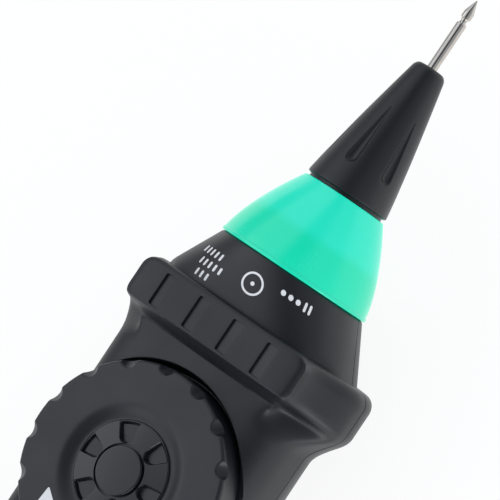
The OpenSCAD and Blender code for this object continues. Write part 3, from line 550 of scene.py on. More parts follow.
def rounded_outline(length: float, width: float, radius: float, count: int) -> Array:
    """Rounded rectangle about the origin, counter-clockwise, as evenly spaced points.

    Args:
        length: Size along x.
        width: Size along y.
        radius: Corner radius.
        count: Number of points.

    Returns:
        n x 2 points. Corners are quarter circles, and the whole line is divided evenly.
    """
    start = np.array([[length / 2, 0.0]])
    arcs = [radius * np.column_stack([np.cos(a), np.sin(a)]) +
            [i * (length / 2 - radius), j * (width / 2 - radius)]
            for a, i, j in zip([swept(k, k + 1, 17) for k in range(4)], (1, -1, -1, 1), (1, 1, -1, -1))]
    line = np.concatenate([start, *arcs, start])
    run = run_of(line)
    at = np.arange(count) * run[-1] / count
    return np.stack([np.interp(at, run, line[:, 0]), np.interp(at, run, line[:, 1])], 1)


@dataclass
class Skin:
    """Collects surfaces in millimetres from the tail and turns them into one mesh object."""

    points: list[Array] = field(default_factory=list)
    faces: list[Array] = field(default_factory=list)  # Arrays of corner numbers, three or four to a row
    kinds: list[int] = field(default_factory=list)  # Number of the finish for each array in faces
    count: int = 0  # Points so far

    def loose(self, points: Array, faces: Array, kind: int = 0, flip: bool = False) -> "Skin":
        """Adds any points and faces.

        Args:
            points: n x 3.
            faces: m x 3 or m x 4, numbered from this array's first point.
            kind: Which finish.
            flip: Turns the faces over.

        Returns:
            This skin, so that the next call can follow.
        """
        self.points.append(points)
        laid = faces + self.count
        self.faces.append(laid[:, ::-1] if flip else laid)
        self.kinds.append(kind)
        self.count += len(points)
        return self

    def grid(self, rows: Array, kind: int = 0, flip: bool = False) -> "Skin":
        """Adds a grid surface: each row is closed to a ring and joined to the next by quads.

        Args:
            rows: r x c x 3 points.
            kind: Which finish.
            flip: Turns the faces over.

        Returns:
            This skin.
        """
        r, c = rows.shape[:2]
        i, j = np.meshgrid(np.arange(r - 1), np.arange(c), indexing="ij")
        a, b = (i * c + j).ravel(), (i * c + (j + 1) % c).ravel()
        return self.loose(rows.reshape(-1, 3), np.stack([a, b, b + c, a + c], 1), kind, flip)

    def band(self, rows: list[Array], facing: Array) -> "Skin":
        """Adds the grid of rows from an edge inwards, its first faces looking as told."""
        faces = np.cross(np.roll(rows[0], -1, 0) - rows[0], rows[1] - rows[0])
        return self.grid(np.stack(rows), flip=np.sum(faces * facing) < 0)

    def piece(self, name: str, finishes: Sequence[Finish], node: str = "", body: str = "housing",
              sharp: float = 35.0, weld: float = 0.002) -> None:
        """Makes the object, in metres, joins what touches, smooths it, and lets it ride on its body.

        Args:
            name: Name of the piece.
            finishes: One for each kind.
            node: CAD node that it replaces, or none.
            body: CAD body that it moves with.
            sharp: Edges that turn by more than this many degrees stay sharp.
            weld: Points closer than this many millimetres become one.
        """
        spots = np.concatenate(self.points)
        keys = np.round(spots / weld).astype(np.int64)
        first, back = np.unique(keys, axis=0, return_index=True, return_inverse=True)[1:]
        spots = spots[first] - [TOTAL_LEN / 2, 0, 0]
        faces = []
        for laid, kind in zip(self.faces, self.kinds):
            joined = back.ravel()[laid]
            keep = joined != np.roll(joined, -1, axis=1)
            good = keep.sum(1) >= 3
            faces.append((joined[good][keep[good]], keep[good].sum(1), np.full(good.sum(), kind)))
        corners, sizes, kinds = (np.concatenate(each).astype(np.int32) for each in zip(*faces))
        mesh = bpy.data.meshes.new(name)
        for finish in finishes:
            mesh.materials.append(finish.make())
        mesh.vertices.add(len(spots))
        mesh.loops.add(len(corners))
        mesh.polygons.add(len(sizes))
        mesh.vertices.foreach_set("co", (spots * MM).astype(np.float32).ravel())
        mesh.loops.foreach_set("vertex_index", corners)
        for key, values in (("loop_start", (np.cumsum(sizes) - sizes).astype(np.int32)),
                            ("material_index", kinds), ("use_smooth", sizes > 0)):
            mesh.polygons.foreach_set(key, values)
        mesh.update(calc_edges=True)
        mesh.validate()
        mesh.set_sharp_from_angle(angle=math.radians(sharp))
        made = put(name, mesh)
        if node:
            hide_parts(node)
        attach(made, body)
        log.info("%s: %d points, %d faces, %s", name, len(spots), len(sizes), finishes[0].name)


@dataclass
class CaseForm:
    """Outline of the case: half width, top and bottom along x, and the cross sections between
    them. Its fields have the names and sizes of the part's source."""

    case_w: float = 31.4
    tail_w: float = 28.8
    case_top: float = 25.2
    tail_top: float = 22.0
    belly_lift: float = 1.4
    tail_round: float = 6.0
    tail_edge: float = 2.4
    guard_w: float = 38.0
    guard_back: float = 149.2
    guard_len: float = 6.8
    guard_top: float = 28.6
    guard_fade: float = 5.0
    pad_w: float = 28.8
    pad_edge: float = 0.7
    pad_round: float = 2.0
    neck_end: float = 163.8
    neck_w: float = 31.2
    neck_r: float = 11.0
    neck_drop: float = 1.2
    slope_x: float = 33.0
    foot_x: float = 20.0
    cover_end: float = 86.3
    top_power: float = 4.4
    neck_power: float = 3.0
    low_power: float = 2.6
    front_power: float = 1.75
    side_lean: float = 0.04
    foot_cut: float = 0.7
    neck_round: float = 0.25
    steps: int = 900

    def half_w(self, x: Array) -> Array:
        """Half width: tapered body, guard's wings, then the neck narrowing to its front.

        Args:
            x: Along the pen.

        Returns:
            Straight and smooth changes between the sizes, less the roundings.
        """
        gb, gf = self.guard_back, self.guard_fade
        body = ramp(x, self.tail_round, gb - gf, self.tail_w / 2, self.case_w / 2)
        front = self.pad_round * quarter((x - CASE_LEN + self.pad_round) / self.pad_round)
        rear = bend(x, gb - gf, gb + 1, body, self.guard_w / 2) - self.tail_cut(x) - front
        return np.where(x > CASE_LEN, ramp(x, CASE_LEN, self.neck_end, self.neck_w / 2, self.neck_r), rear)

    def tail_cut(self, x: Array) -> Array:
        """Rounding of the tail's rim."""
        return self.tail_edge * quarter(1 - x / self.tail_round)

    def edge_cut(self, x: Array) -> Array:
        """Rounding of the pad's front edge."""
        return self.pad_edge * quarter((x - CASE_LEN + self.pad_edge) / self.pad_edge)

    def pad_cut(self, x: Array) -> Array:
        """Rounding of the pad's four corners as seen from above."""
        r, start = self.pad_round, self.guard_back - 0.2
        return r * (quarter((x - CASE_LEN + r) / r) * 0.4 + quarter((start + r - x) / r))

    def top_z(self, x: Array) -> Array:
        """Top: tail slope, flat, step up to the pad, then the neck falling to the ring.

        Args:
            x: Along the pen.

        Returns:
            Its height.
        """
        gb = self.guard_back
        neck = ramp(x, CASE_LEN, self.neck_end, self.guard_top - self.neck_drop, AXIS_Z + self.neck_r)
        pad = bend(x, gb - 1.0, gb + 0.8, self.case_top, self.guard_top) - self.edge_cut(x)
        rear = bend(x, self.tail_round, self.slope_x, self.tail_top, self.case_top) - self.tail_cut(x)
        return np.where(x > CASE_LEN, neck, np.where(x > gb - 1, pad, rear))

    def low_z(self, x: Array) -> Array:
        """Bottom: foot at the tail, lifted belly, foot under the guard, rising neck.

        Args:
            x: Along the pen.

        Returns:
            Its height.
        """
        gb = self.guard_back
        neck = ramp(x, CASE_LEN, self.neck_end, 3.0, AXIS_Z - self.neck_r)
        foot = bend(x, gb - 2, gb, self.belly_lift, 0.0) + self.edge_cut(x)
        rear = ramp(x, self.foot_x, gb - self.guard_fade, 0.0, self.belly_lift) + self.tail_cut(x)
        return np.where(x > CASE_LEN, neck, np.where(x > gb - 2, foot, rear))

    def box_half(self, u: Array, power: Array) -> tuple[Array, Array]:
        """Quarter of a superellipse: cosine and sine of 90 u, each to the power 2 / power."""
        a = np.clip(u, 0, 1) * math.pi / 2
        return np.maximum(np.cos(a), 0) ** (2 / power), np.maximum(np.sin(a), 0) ** (2 / power)

    def section(self, x: float, upper: bool, inset: float = 0.0) -> Array:
        """One cross section from the left split edge over the middle to the right one.

        Args:
            x: Along the pen.
            upper: Upper or lower half.
            inset: How much smaller it is all round.

        Returns:
            Points x, y, z. The form blends a superellipse box, the guard's swept wings and the
            neck's ellipse about the probe's axis by how far x lies in each.
        """
        t = np.linspace(0, 1, self.steps)
        u = np.where(t < 0.5, 0.5 * (2 * t) ** 2.2, 1 - 0.5 * (2 - 2 * t) ** 2.2)
        w = self.half_w(x) - inset
        neck = x > CASE_LEN
        n = ramp(x, CASE_LEN, self.neck_end, self.neck_round, 1.0) if neck else 0.0
        g = 0.0 if neck else ease((x - self.guard_back + self.guard_fade) / self.guard_fade)
        if upper:
            end = self.top_z(x) - inset
            b = self.box_half(u, self.neck_power if neck else self.top_power)
            pad = (self.pad_w / 2 - self.pad_cut(x)) / (self.guard_w / 2)
            h = 0.92 * u / 0.7
            tip = self.box_half((u - 0.7) / 0.3, 3.2)
            wing_y = np.where(u < 0.7, pad + (1 - pad) * (1 - ease((h - 0.12) / 0.72)), pad * tip[0])
            wing_z = np.where(u < 0.7, h, 0.92 + 0.08 * tip[1])
            own_y = g * wing_y + (1 - g) * b[0] * (1 - self.side_lean * b[1])
            own_z = SPLIT_Z + (end - SPLIT_Z) * (g * wing_z + (1 - g) * b[1])
        else:
            end = self.low_z(x) + inset
            b = self.box_half(u, bend(x, self.cover_end + 6, self.guard_back - self.guard_fade,
                                      self.low_power, self.front_power))
            own_y = b[0]
            own_z = np.maximum(end, SPLIT_Z - (SPLIT_Z - end + self.foot_cut) * b[1])
        y, z = (1 - n) * w * own_y, (1 - n) * own_z
        if n > 0:
            a0 = math.asin((SPLIT_Z - AXIS_Z) / (end - AXIS_Z))
            a = a0 + (math.pi / 2 - a0) * u
            y = y + n * w * np.cos(a) / math.cos(a0)
            z = z + n * (AXIS_Z + (end - AXIS_Z) * np.sin(a))
        left = np.stack([x + 0 * u, y, z], 1)
        if neck and x < CASE_LEN + 4:
            edge = self.section(CASE_LEN, upper)[:self.steps]
            order = np.argsort(edge[:, 2])
            limit = np.interp(z, edge[order, 2], edge[order, 1]) - 0.2 + 0.5 * (x - CASE_LEN)
            left[:, 1] = np.maximum(soft_min(y, np.maximum(limit, 0), 0.8), 0)
        return np.concatenate([left, left[-2::-1] * [1, -1, 1]])

    def mouth(self, x: float, radius: float, upper: bool) -> Array:
        """Half of a circle about the probe's axis, cut at the split line.

        Args:
            x: Along the pen.
            radius: Its radius.
            upper: Upper or lower half.

        Returns:
            Points x, y, z in the same order as a section's.
        """
        sign = 1.0 if upper else -1.0
        a0 = math.asin(sign * (SPLIT_Z - AXIS_Z) / radius)
        a = np.linspace(a0, math.pi - a0, 2 * self.steps - 1)
        return np.stack([x + 0 * a, radius * np.cos(a), AXIS_Z + sign * radius * np.sin(a)], 1)


def even_numbers(line: Array, count: int) -> Array:
    """Fractional numbers of a line's points that divide it into equal lengths."""
    run = run_of(line)
    return np.interp(np.linspace(0, run[-1], count), run, np.arange(len(line)))


def pick(line: Array, numbers: Array) -> Array:
    """Points of a line at fractional numbers of its points, straight between the nearest two."""
    own = np.arange(len(line))
    return np.stack([np.interp(numbers, own, line[:, k]) for k in range(3)], 1)


def even(line: Array, count: int) -> Array:
    """Divides a line into equal lengths."""
    return pick(line, even_numbers(line, count))


@dataclass
class Hole:
    """A cut through a sheet, or a pocket in it."""

    spots: Array  # Its edge as places on the sheet (along, across), counter-clockwise from above
    # From the edge's points, gives the rows that follow, from the edge inwards
    run: Callable[[Array], list[Array]]
    soft: float = 0.2  # Size of the rounding at its edge
    lid: bool = False  # Closes the sheet's inner side over a pocket that doesn't go through


def straight(*depths: float) -> Callable[[Array], list[Array]]:
    """Rows of a hole's wall that runs straight up or down from its edge's points."""
    return lambda corner: [corner + [0, 0, depth] for depth in depths]


def grown(spots: Array, by: float) -> Array:
    """Makes a closed outline larger on the sheet.

    Args:
        spots: n x 2 places of the outline.
        by: How far, or less than 0 to make it smaller.

    Returns:
        The places moved along the mean of their sides' normals.
    """
    ahead = unit(np.roll(spots, -1, 0) - spots)
    mean = unit(ahead + np.roll(ahead, 1, 0))
    area = np.sum(spots[:, 0] * np.roll(spots[:, 1], -1) - np.roll(spots[:, 0], -1) * spots[:, 1])
    return spots + by * np.sign(area) * np.stack([mean[:, 1], -mean[:, 0]], 1)


def inside(spots: Array, outlines: Sequence[Array]) -> Array:
    """Which places lie inside the first closed outline and outside all others.

    Args:
        spots: n x 2 places.
        outlines: Outlines that don't cross.

    Returns:
        True where the sides beyond a place, of all the outlines together, are odd in number.
    """
    count = np.zeros(len(spots), int)
    for a in outlines:
        near = np.flatnonzero((spots[:, 1] >= a[:, 1].min()) & (spots[:, 1] <= a[:, 1].max()) &
                              (spots[:, 0] <= a[:, 0].max()))
        x, y, b = spots[near, :1], spots[near, 1:], np.roll(a, -1, 0)
        with np.errstate(divide="ignore", invalid="ignore"):
            at = a[:, 0] + (y - a[:, 1]) * (b[:, 0] - a[:, 0]) / (b[:, 1] - a[:, 1])
        count[near] += np.sum(((a[:, 1] > y) != (b[:, 1] > y)) & (x < at), axis=1)
    return count % 2 == 1


def match(flat: Array, edge: Array) -> Array:
    """Finds an edge's points in the net, 200 at a time.

    Args:
        flat: n x 2 points of the net.
        edge: Points of the edge.

    Returns:
        Number of the nearest point of the net for each.
    """
    out = np.empty(len(edge), int)
    for start in range(0, len(edge), 200):
        part = edge[start:start + 200]
        out[start:start + 200] = np.argmin(((flat[None] - part[:, None]) ** 2).sum(2), axis=1)
    return out


def normals(spots: Array, tris: Array) -> Array:
    """Normals of a net's points.

    Args:
        spots: n x 3 points.
        tris: Its triangles.

    Returns:
        Mean of the normals of each point's triangles, weighted by their size.
    """
    a, b, c = spots[tris[:, 0]], spots[tris[:, 1]], spots[tris[:, 2]]
    face = np.cross(b - a, c - a)
    total = np.zeros_like(spots)
    for k in range(3):
        np.add.at(total, tris[:, k], face)
    return unit(total)


def rounded(outer: Array, corner: Array, inner: Array) -> list[Array]:
    """Rows of a quadratic curve from the surface round a corner to the first inner row."""
    t = np.linspace(0, 1, 5)[:, None, None]
    return list((1 - t) ** 2 * outer + 2 * t * (1 - t) * corner + t ** 2 * inner)


class Sheet:
    """A skin over cross sections: places on it are (along, across), both in millimetres of its
    own length, so that triangles laid out flat keep their shape on it."""

    def __init__(self, rows: list[Array]) -> None:
        """Divides each section evenly and measures the sheet along its middle and sides.

        Args:
            rows: Cross sections. One that has the sheet's number of points is taken as it is.
        """
        self.xyz = np.stack([row if len(row) == ACROSS else even(row, ACROSS) for row in rows])
        gaps = np.linalg.norm(np.diff(self.xyz, axis=0), axis=2)
        self.p = np.concatenate([[0], np.cumsum(np.maximum(gaps[:, ::50].mean(1), 0.02))])
        lengths = np.linalg.norm(np.diff(self.xyz, axis=1), axis=2).sum(1)
        self.half = float(np.median(lengths)) / 2
        self.s = np.linspace(-self.half, self.half, ACROSS)
        self.side = float(np.sign(self.xyz[len(rows) // 2, ACROSS // 2, 2] - SPLIT_Z))

    def row_of(self, p: Array) -> tuple[Array, Array]:
        """Number of the section before each place, and the share of the way to the next."""
        k = np.clip(np.searchsorted(self.p, p, side="right") - 1, 0, len(self.p) - 2)
        return k, np.clip((p - self.p[k]) / (self.p[k + 1] - self.p[k]), 0, 1)

    def at(self, spots: Array) -> Array:
        """Points of the sheet at places on it, straight between the four nearest ones.

        Args:
            spots: n x 2 (along, across).

        Returns:
            n x 3 points.
        """
        k, a = self.row_of(spots[:, 0])
        c = np.clip((spots[:, 1] + self.half) / (2 * self.half) * (ACROSS - 1), 0, ACROSS - 1)
        j = np.minimum(c.astype(int), ACROSS - 2)
        b = (c - j)[:, None]
        a = a[:, None]
        one = self.xyz[k, j] * (1 - b) + self.xyz[k, j + 1] * b
        two = self.xyz[k + 1, j] * (1 - b) + self.xyz[k + 1, j + 1] * b
        return one * (1 - a) + two * a

    def lifted(self, spots: Array, by: float | Array) -> Array:
        """Points over the sheet: its points moved along its normals.

        Args:
            spots: n x 2 places.
            by: Height over the sheet, one for all or n x 1.

        Returns:
            n x 3 points. A normal is the cross product of two short steps on the sheet.
        """
        step = 0.05
        one = self.at(spots + [step, 0]) - self.at(spots - [step, 0])
        two = self.at(spots + [0, step]) - self.at(spots - [0, step])
        normal = unit(np.cross(one, two))
        return self.at(spots) + np.where(normal[:, 2:] * self.side < 0, -normal, normal) * by

    def along(self, x: Array) -> Array:
        """Looks up sections by their place along the pen.

        Args:
            x: Places on the body or, past it, on the neck.

        Returns:
            Their places along the sheet.
        """
        middle = self.xyz[:, 0, 0]
        last = int(np.argmax(middle >= CASE_LEN - 0.001))
        first = int(np.argmax(middle > 0.0005)) - 1
        body = np.interp(x, middle[first:last + 1], self.p[first:last + 1])
        past = np.flatnonzero(middle > CASE_LEN + 0.00005)[:12]
        return np.where(x > CASE_LEN, np.interp(x, middle[past], self.p[past]), body)

    def find(self, points: Array) -> Array:
        """Places on the sheet straight above or below n x 2 points along and across the pen."""
        return self.pass_by(self.along(points[:, 0]), points[:, 1], 1)

    def find_side(self, x: Array, z: Array, left: Array) -> Array:
        """Places at height z on the sheet's left side where left is true, else on its right side."""
        p, across = self.pass_by(self.along(x), -self.side * z, 2).T
        return np.stack([p, np.where(left, across, -across)], 1)

    def pass_by(self, p: Array, wanted: Array, axis: int) -> Array:
        """Where a coordinate that falls steadily along each section passes a wanted value.

        Args:
            p: Places along the sheet.
            wanted: One value for each.
            axis: 1 for y, 2 for the height towards the split line on the left side.

        Returns:
            n x 2 places.
        """
        k, a = self.row_of(p)
        factor, end = (1.0, ACROSS) if axis == 1 else (-self.side, ACROSS // 2 + 1)
        a = a[:, None]
        rows = factor * (self.xyz[k, :end, axis] * (1 - a) + self.xyz[k + 1, :end, axis] * a)
        j = np.clip((rows > wanted[:, None]).sum(1), 1, end - 1)
        n = np.arange(len(p))
        upper, lower = rows[n, j - 1], rows[n, j]
        b = np.clip((upper - wanted) / np.maximum(upper - lower, 1e-9), 0, 1)
        step = self.s[1] - self.s[0]
        return np.stack([p, self.s[0] + (j - 1 + b) * step], 1)

    def fill(self, outline: Hole, holes: Sequence[Hole], pitch: float, thick: float) -> Skin:
        """Lays a net of triangles over the part of the sheet inside an outline, outside its holes,
        gives it a wall, and carries rounded edges round the outline and every hole.

        Args:
            outline: Its border.
            holes: Cuts and pockets.
            pitch: Width of the net's meshes.
            thick: Wall thickness.

        Returns:
            The surfaces.
        """
        edges = [grown(outline.spots, -outline.soft)] + [grown(h.spots, h.soft) for h in holes]
        net_s = np.arange(-self.half + pitch / 2, self.half, pitch)
        net = np.stack(np.meshgrid(self.p, net_s, indexing="ij"), 2).reshape(-1, 2)
        clear = 0.3 * pitch
        net = net[inside(net, [grown(edges[0], -clear), *(grown(edge, clear) for edge in edges[1:])])]
        ends = np.cumsum([len(edge) for edge in edges])
        links = np.stack([np.arange(ends[-1]), np.arange(ends[-1]) + 1], 1)
        links[ends - 1, 1] = np.concatenate([[0], ends[:-1]])
        every = np.concatenate(edges + [net])
        made = delaunay_2d_cdt(every.tolist(), links.tolist(), [], 0, 1e-5, False)
        flat, tris = np.array(made[0]), np.array(made[2], int)
        tris = tris[inside(flat[tris].mean(1), edges)]
        spots = self.at(flat)
        normal = normals(spots, tris)
        if np.sum(normal[:, 2] * self.side) < 0:
            tris, normal = tris[:, ::-1], -normal
        inner = spots - normal * thick
        skin = Skin().loose(spots, tris).loose(inner, tris, flip=True)
        for hole, edge in zip([outline, *holes], edges):
            near = match(flat, edge)
            wall, corner = inner[near], self.at(hole.spots)
            first, *others = hole.run(corner)
            rows = [*rounded(spots[near], corner, first), *others]
            skin.band(rows if hole.lid else [*rows, wall], normal[near])
            if hole.lid:
                skin.band([wall, wall.mean(0) + 0 * wall], -normal[near])
        return skin


def matched(line: Array, guide: Array, share: float) -> Array:
    """Divides a section so that its points lie at the same angles as another section's.

    Args:
        line: n x 3 points.
        guide: Section that is already divided.
        share: 0 keeps the other's angles, 1 divides the line evenly.

    Returns:
        As many points as the guide. Angles are taken about the middle of the split line.
    """
    run = run_of(line)
    angle = np.arctan2(np.abs(line[:, 2] - SPLIT_Z), line[:, 1])
    wanted = np.arctan2(np.abs(guide[:, 2] - SPLIT_Z), guide[:, 1])
    at = (1 - share) * np.interp(wanted, angle, run) + share * np.linspace(0, run[-1], len(guide))
    return np.stack([np.interp(at, run, line[:, k]) for k in range(3)], 1)


@dataclass
class Shell:
    """One half of the case: its sections from the tail's middle to the mouth of the neck."""

    form: CaseForm
    upper: bool
    mouth_r: float = 7.55  # Radius of the neck's mouth
    thick: float = 1.2
    seam: float = 0.16  # Rounding of the edges at the split line, which shows as a thin dark line
    pitch: float = 0.45  # Width of the net's meshes
    lip: float = 0.35  # Rounding of the neck's front edge
    cap_rows: int = 20  # Sections over the tail's face

    @cached_property
    def sheet(self) -> Sheet:
        """Lays out the sections: tail cap drawn in to a point on the split line, body, guard,
        guard's front face, neck, its front face and the mouth behind it.

        Returns:
            The sheet over them. Between two sections a third is one times (1 - share) plus the
            other times share.
        """
        form, up = self.form, self.upper
        gb, fade = form.guard_back, form.guard_fade
        xs = np.concatenate([form.tail_round * (1 - np.cos(swept(0, 1, 14))), np.arange(6.6, gb - fade, 0.6),
                             np.arange(gb - fade, gb - 0.6, 0.25), np.arange(gb - 0.6, gb + 2.0, 0.1),
                             np.arange(gb + 2.0, CASE_LEN - form.pad_edge, 0.3),
                             CASE_LEN - form.pad_edge * (1 - np.sin(swept(0, 1, 9)))])
        xs = xs[np.append(True, np.diff(xs) > 0.004)]
        body = [form.section(x, up) for x in xs]
        guide = even_numbers(form.section(gb + 2.0, up), ACROSS)
        near = ease((xs - gb + fade) / 3.5)
        body = [pick(line, (1 - k) * even_numbers(line, ACROSS) + k * guide) for line, k in zip(body, near)]
        centre = np.array([0, 0, SPLIT_Z])
        cap = [centre + (body[0] - centre) * k for k in np.linspace(0, 1, self.cap_rows)[:-1]]
        end = form.neck_end
        neck = [matched(form.section(x, up), body[-1], k / 13)
                for k, x in enumerate(np.linspace(CASE_LEN + 0.0001, end - self.lip, 14))]
        face = [body[-1] * (1 - k) + neck[0] * k for k in (0.25, 0.5, 0.75)]
        lip = [form.section(end - self.lip * (1 - math.sin(a)), up, inset=self.lip * (1 - math.cos(a)))
               for a in swept(0, 1, 6)[1:]]
        front = [form.mouth(end, r, up) for r in np.linspace(form.neck_r - self.lip, self.mouth_r, 5)[1:]]
        bore = [form.mouth(x, self.mouth_r, up) for x in np.linspace(end, end - 3.0, 4)[1:]]
        return Sheet(cap + body + face + neck + lip + front + bore)

    def outline(self) -> Hole:
        """Border of the whole sheet.

        Returns:
            Left split edge, mouth, right split edge and tail.
        """
        p, half = self.sheet.p, self.sheet.half
        left = np.stack([p, 0 * p - half], 1)
        s = np.linspace(-half, half, 60)[1:-1]
        end, start = (np.stack([0 * s + p[k], s * way], 1) for k, way in ((-1, 1), (0, -1)))
        return Hole(np.concatenate([left, end, left[::-1] * [1, -1], start]), self.rim, self.seam)

    def rim(self, corner: Array) -> list[Array]:
        """Rows on the split plane inside the rounded edge, where the other shell meets it.

        Args:
            corner: Points of the edge.

        Returns:
            Two rows drawn in across the pen, and along it on the tail's face.
        """
        x, y, z = corner.T
        ahead = ease(1 - x / 1.2)
        aside = np.sign(y) * (1 - ahead)
        return [np.stack([x + reach * ahead, y - aside * np.minimum(reach, np.abs(y)), z], 1)
                for reach in (self.seam, self.thick * 0.9)]

    def shell(self, holes: Sequence[Hole], name: str, node: str) -> None:
        """Builds the shell with its cuts and pockets, in place of a CAD node."""
        self.sheet.fill(self.outline(), holes, self.pitch, self.thick).piece(name, [CASE_ABS], node)


@dataclass
class Marks:
    """Plain pad-printed marks: bars, dots and a ring on the neck, ticks and numbers round the
    dial. Each is a flat shape laid on the sheet and given the ink's thickness."""

    sheet: Sheet  # The upper shell's sheet
    skin: Skin = field(default_factory=Skin)  # Takes the marks
    film: float = 0.025  # How far the ink stands over the plastic and reaches into it
    # Rows of bars on the neck: place along the pen, first y, and number of bars
    rows: tuple[tuple[float, float, int], ...] = ((160.45, 8.6, 5), (158.85, 7.9, 5), (157.25, 7.4, 3))
    bar: Pair = (1.1, 0.42)  # Length along the pen and width of a bar
    gap: float = 1.05  # Distance from bar to bar
    # Place of the ring, its outer radius and its width
    ring: tuple[float, ...] = (159.95, -1.1, 1.65, 0.3)
    # Place of the first dot, its radius, and the number of dots
    dots: tuple[float, float, float, int] = (161.2, -5.3, 0.4, 3)
    pair: float = 0.85  # Distance of the two bars that follow the dots
    # Centre of the dial, radii of the ticks, radius and size of the numbers
    dial: tuple[float, ...] = (130.0, 16.5, 17.4, 18.95, 1.9)
    stops: tuple[float, ...] = (145, 163, 181, 199, 217)  # Angles of the dial's positions

    def spot(self, x: float, y: float) -> Array:
        """Place on the sheet above one point."""
        return self.sheet.find(np.array([[x, y]]))[0]

    def patch(self, line: Array, inner: float = 0.0) -> None:
        """Lays a closed shape on the sheet: top, edge and underside.

        Args:
            line: Its outline on the sheet.
            inner: Share of the outline where an opening starts, or 0.
        """
        middle = line.mean(0)
        shares = ((inner, -1), (inner, 1), (1, 1), (1, -1), (inner, -1))
        self.skin.grid(np.stack([self.sheet.lifted(middle + (line - middle) * share, side * self.film)
                                 for share, side in shares]))

    def neck(self) -> None:
        """Adds the neck's bars, ring and dots."""
        bar = rounded_outline(*self.bar, self.bar[1] / 2 - 0.01, 40)
        for x, y, count in self.rows:
            for number in range(count):
                self.patch(self.spot(x, y) + [0, number * self.gap] + bar)
        x, y, radius, width = self.ring
        self.patch(self.spot(x, y) + circle(radius, 72), 1 - width / radius)
        self.patch(self.spot(x, y) + circle(width, 72))
        x, y, radius, count = self.dots
        step = self.gap * 1.2
        for number in range(count):
            self.patch(self.spot(x, y) + [0, number * step] + circle(radius, 24))
        for number in range(2):
            self.patch(self.spot(x, y) + [0, count * step + number * self.pair] + bar * [1.25, 1.0])

    def number(self, text: str, x: float, y: float) -> None:
        """Adds a number whose top points across the pen, from the built-in font made a mesh.

        Args:
            text: What it says.
            x: Its middle along the pen.
            y: Its middle across it.
        """
        curve = bpy.data.curves.new("number", "FONT")
        curve.body, curve.size, curve.extrude = text, self.dial[4], self.film
        curve.align_x = curve.align_y = "CENTER"
        holder = bpy.data.objects.new("number", curve)
        mesh = bpy.data.meshes.new_from_object(holder)
        mesh.calc_loop_triangles()
        spots, faces = np.empty((len(mesh.vertices), 3)), np.empty((len(mesh.loop_triangles), 3), np.int32)
        mesh.vertices.foreach_get("co", spots.ravel())
        mesh.loop_triangles.foreach_get("vertices", faces.ravel())
        self.skin.loose(self.sheet.lifted(self.sheet.find([x, y] - spots[:, :2]), spots[:, 2:]), faces)
        bpy.data.batch_remove([holder, curve, mesh])

    def scale(self) -> None:
        """Adds a tick and a number at each of the dial's positions."""
        x, low, high, middle = self.dial[:4]
        tick = rounded_outline(high - low, 0.34, 0.1, 32) + [(low + high) / 2, 0]
        for number, degrees in enumerate(self.stops, 1):
            c, s = math.cos(math.radians(degrees)), math.sin(math.radians(degrees))
            self.patch(self.sheet.find(tick @ [[c, s], [-s, c]] + [x, 0])[::-1])
            self.number(str(number), x + middle * c, middle * s)

    def build(self) -> None:
        """Builds all marks as one piece."""
        self.neck()
        self.scale()
        self.skin.piece("marks_printed", [INK], weld=0.0005)


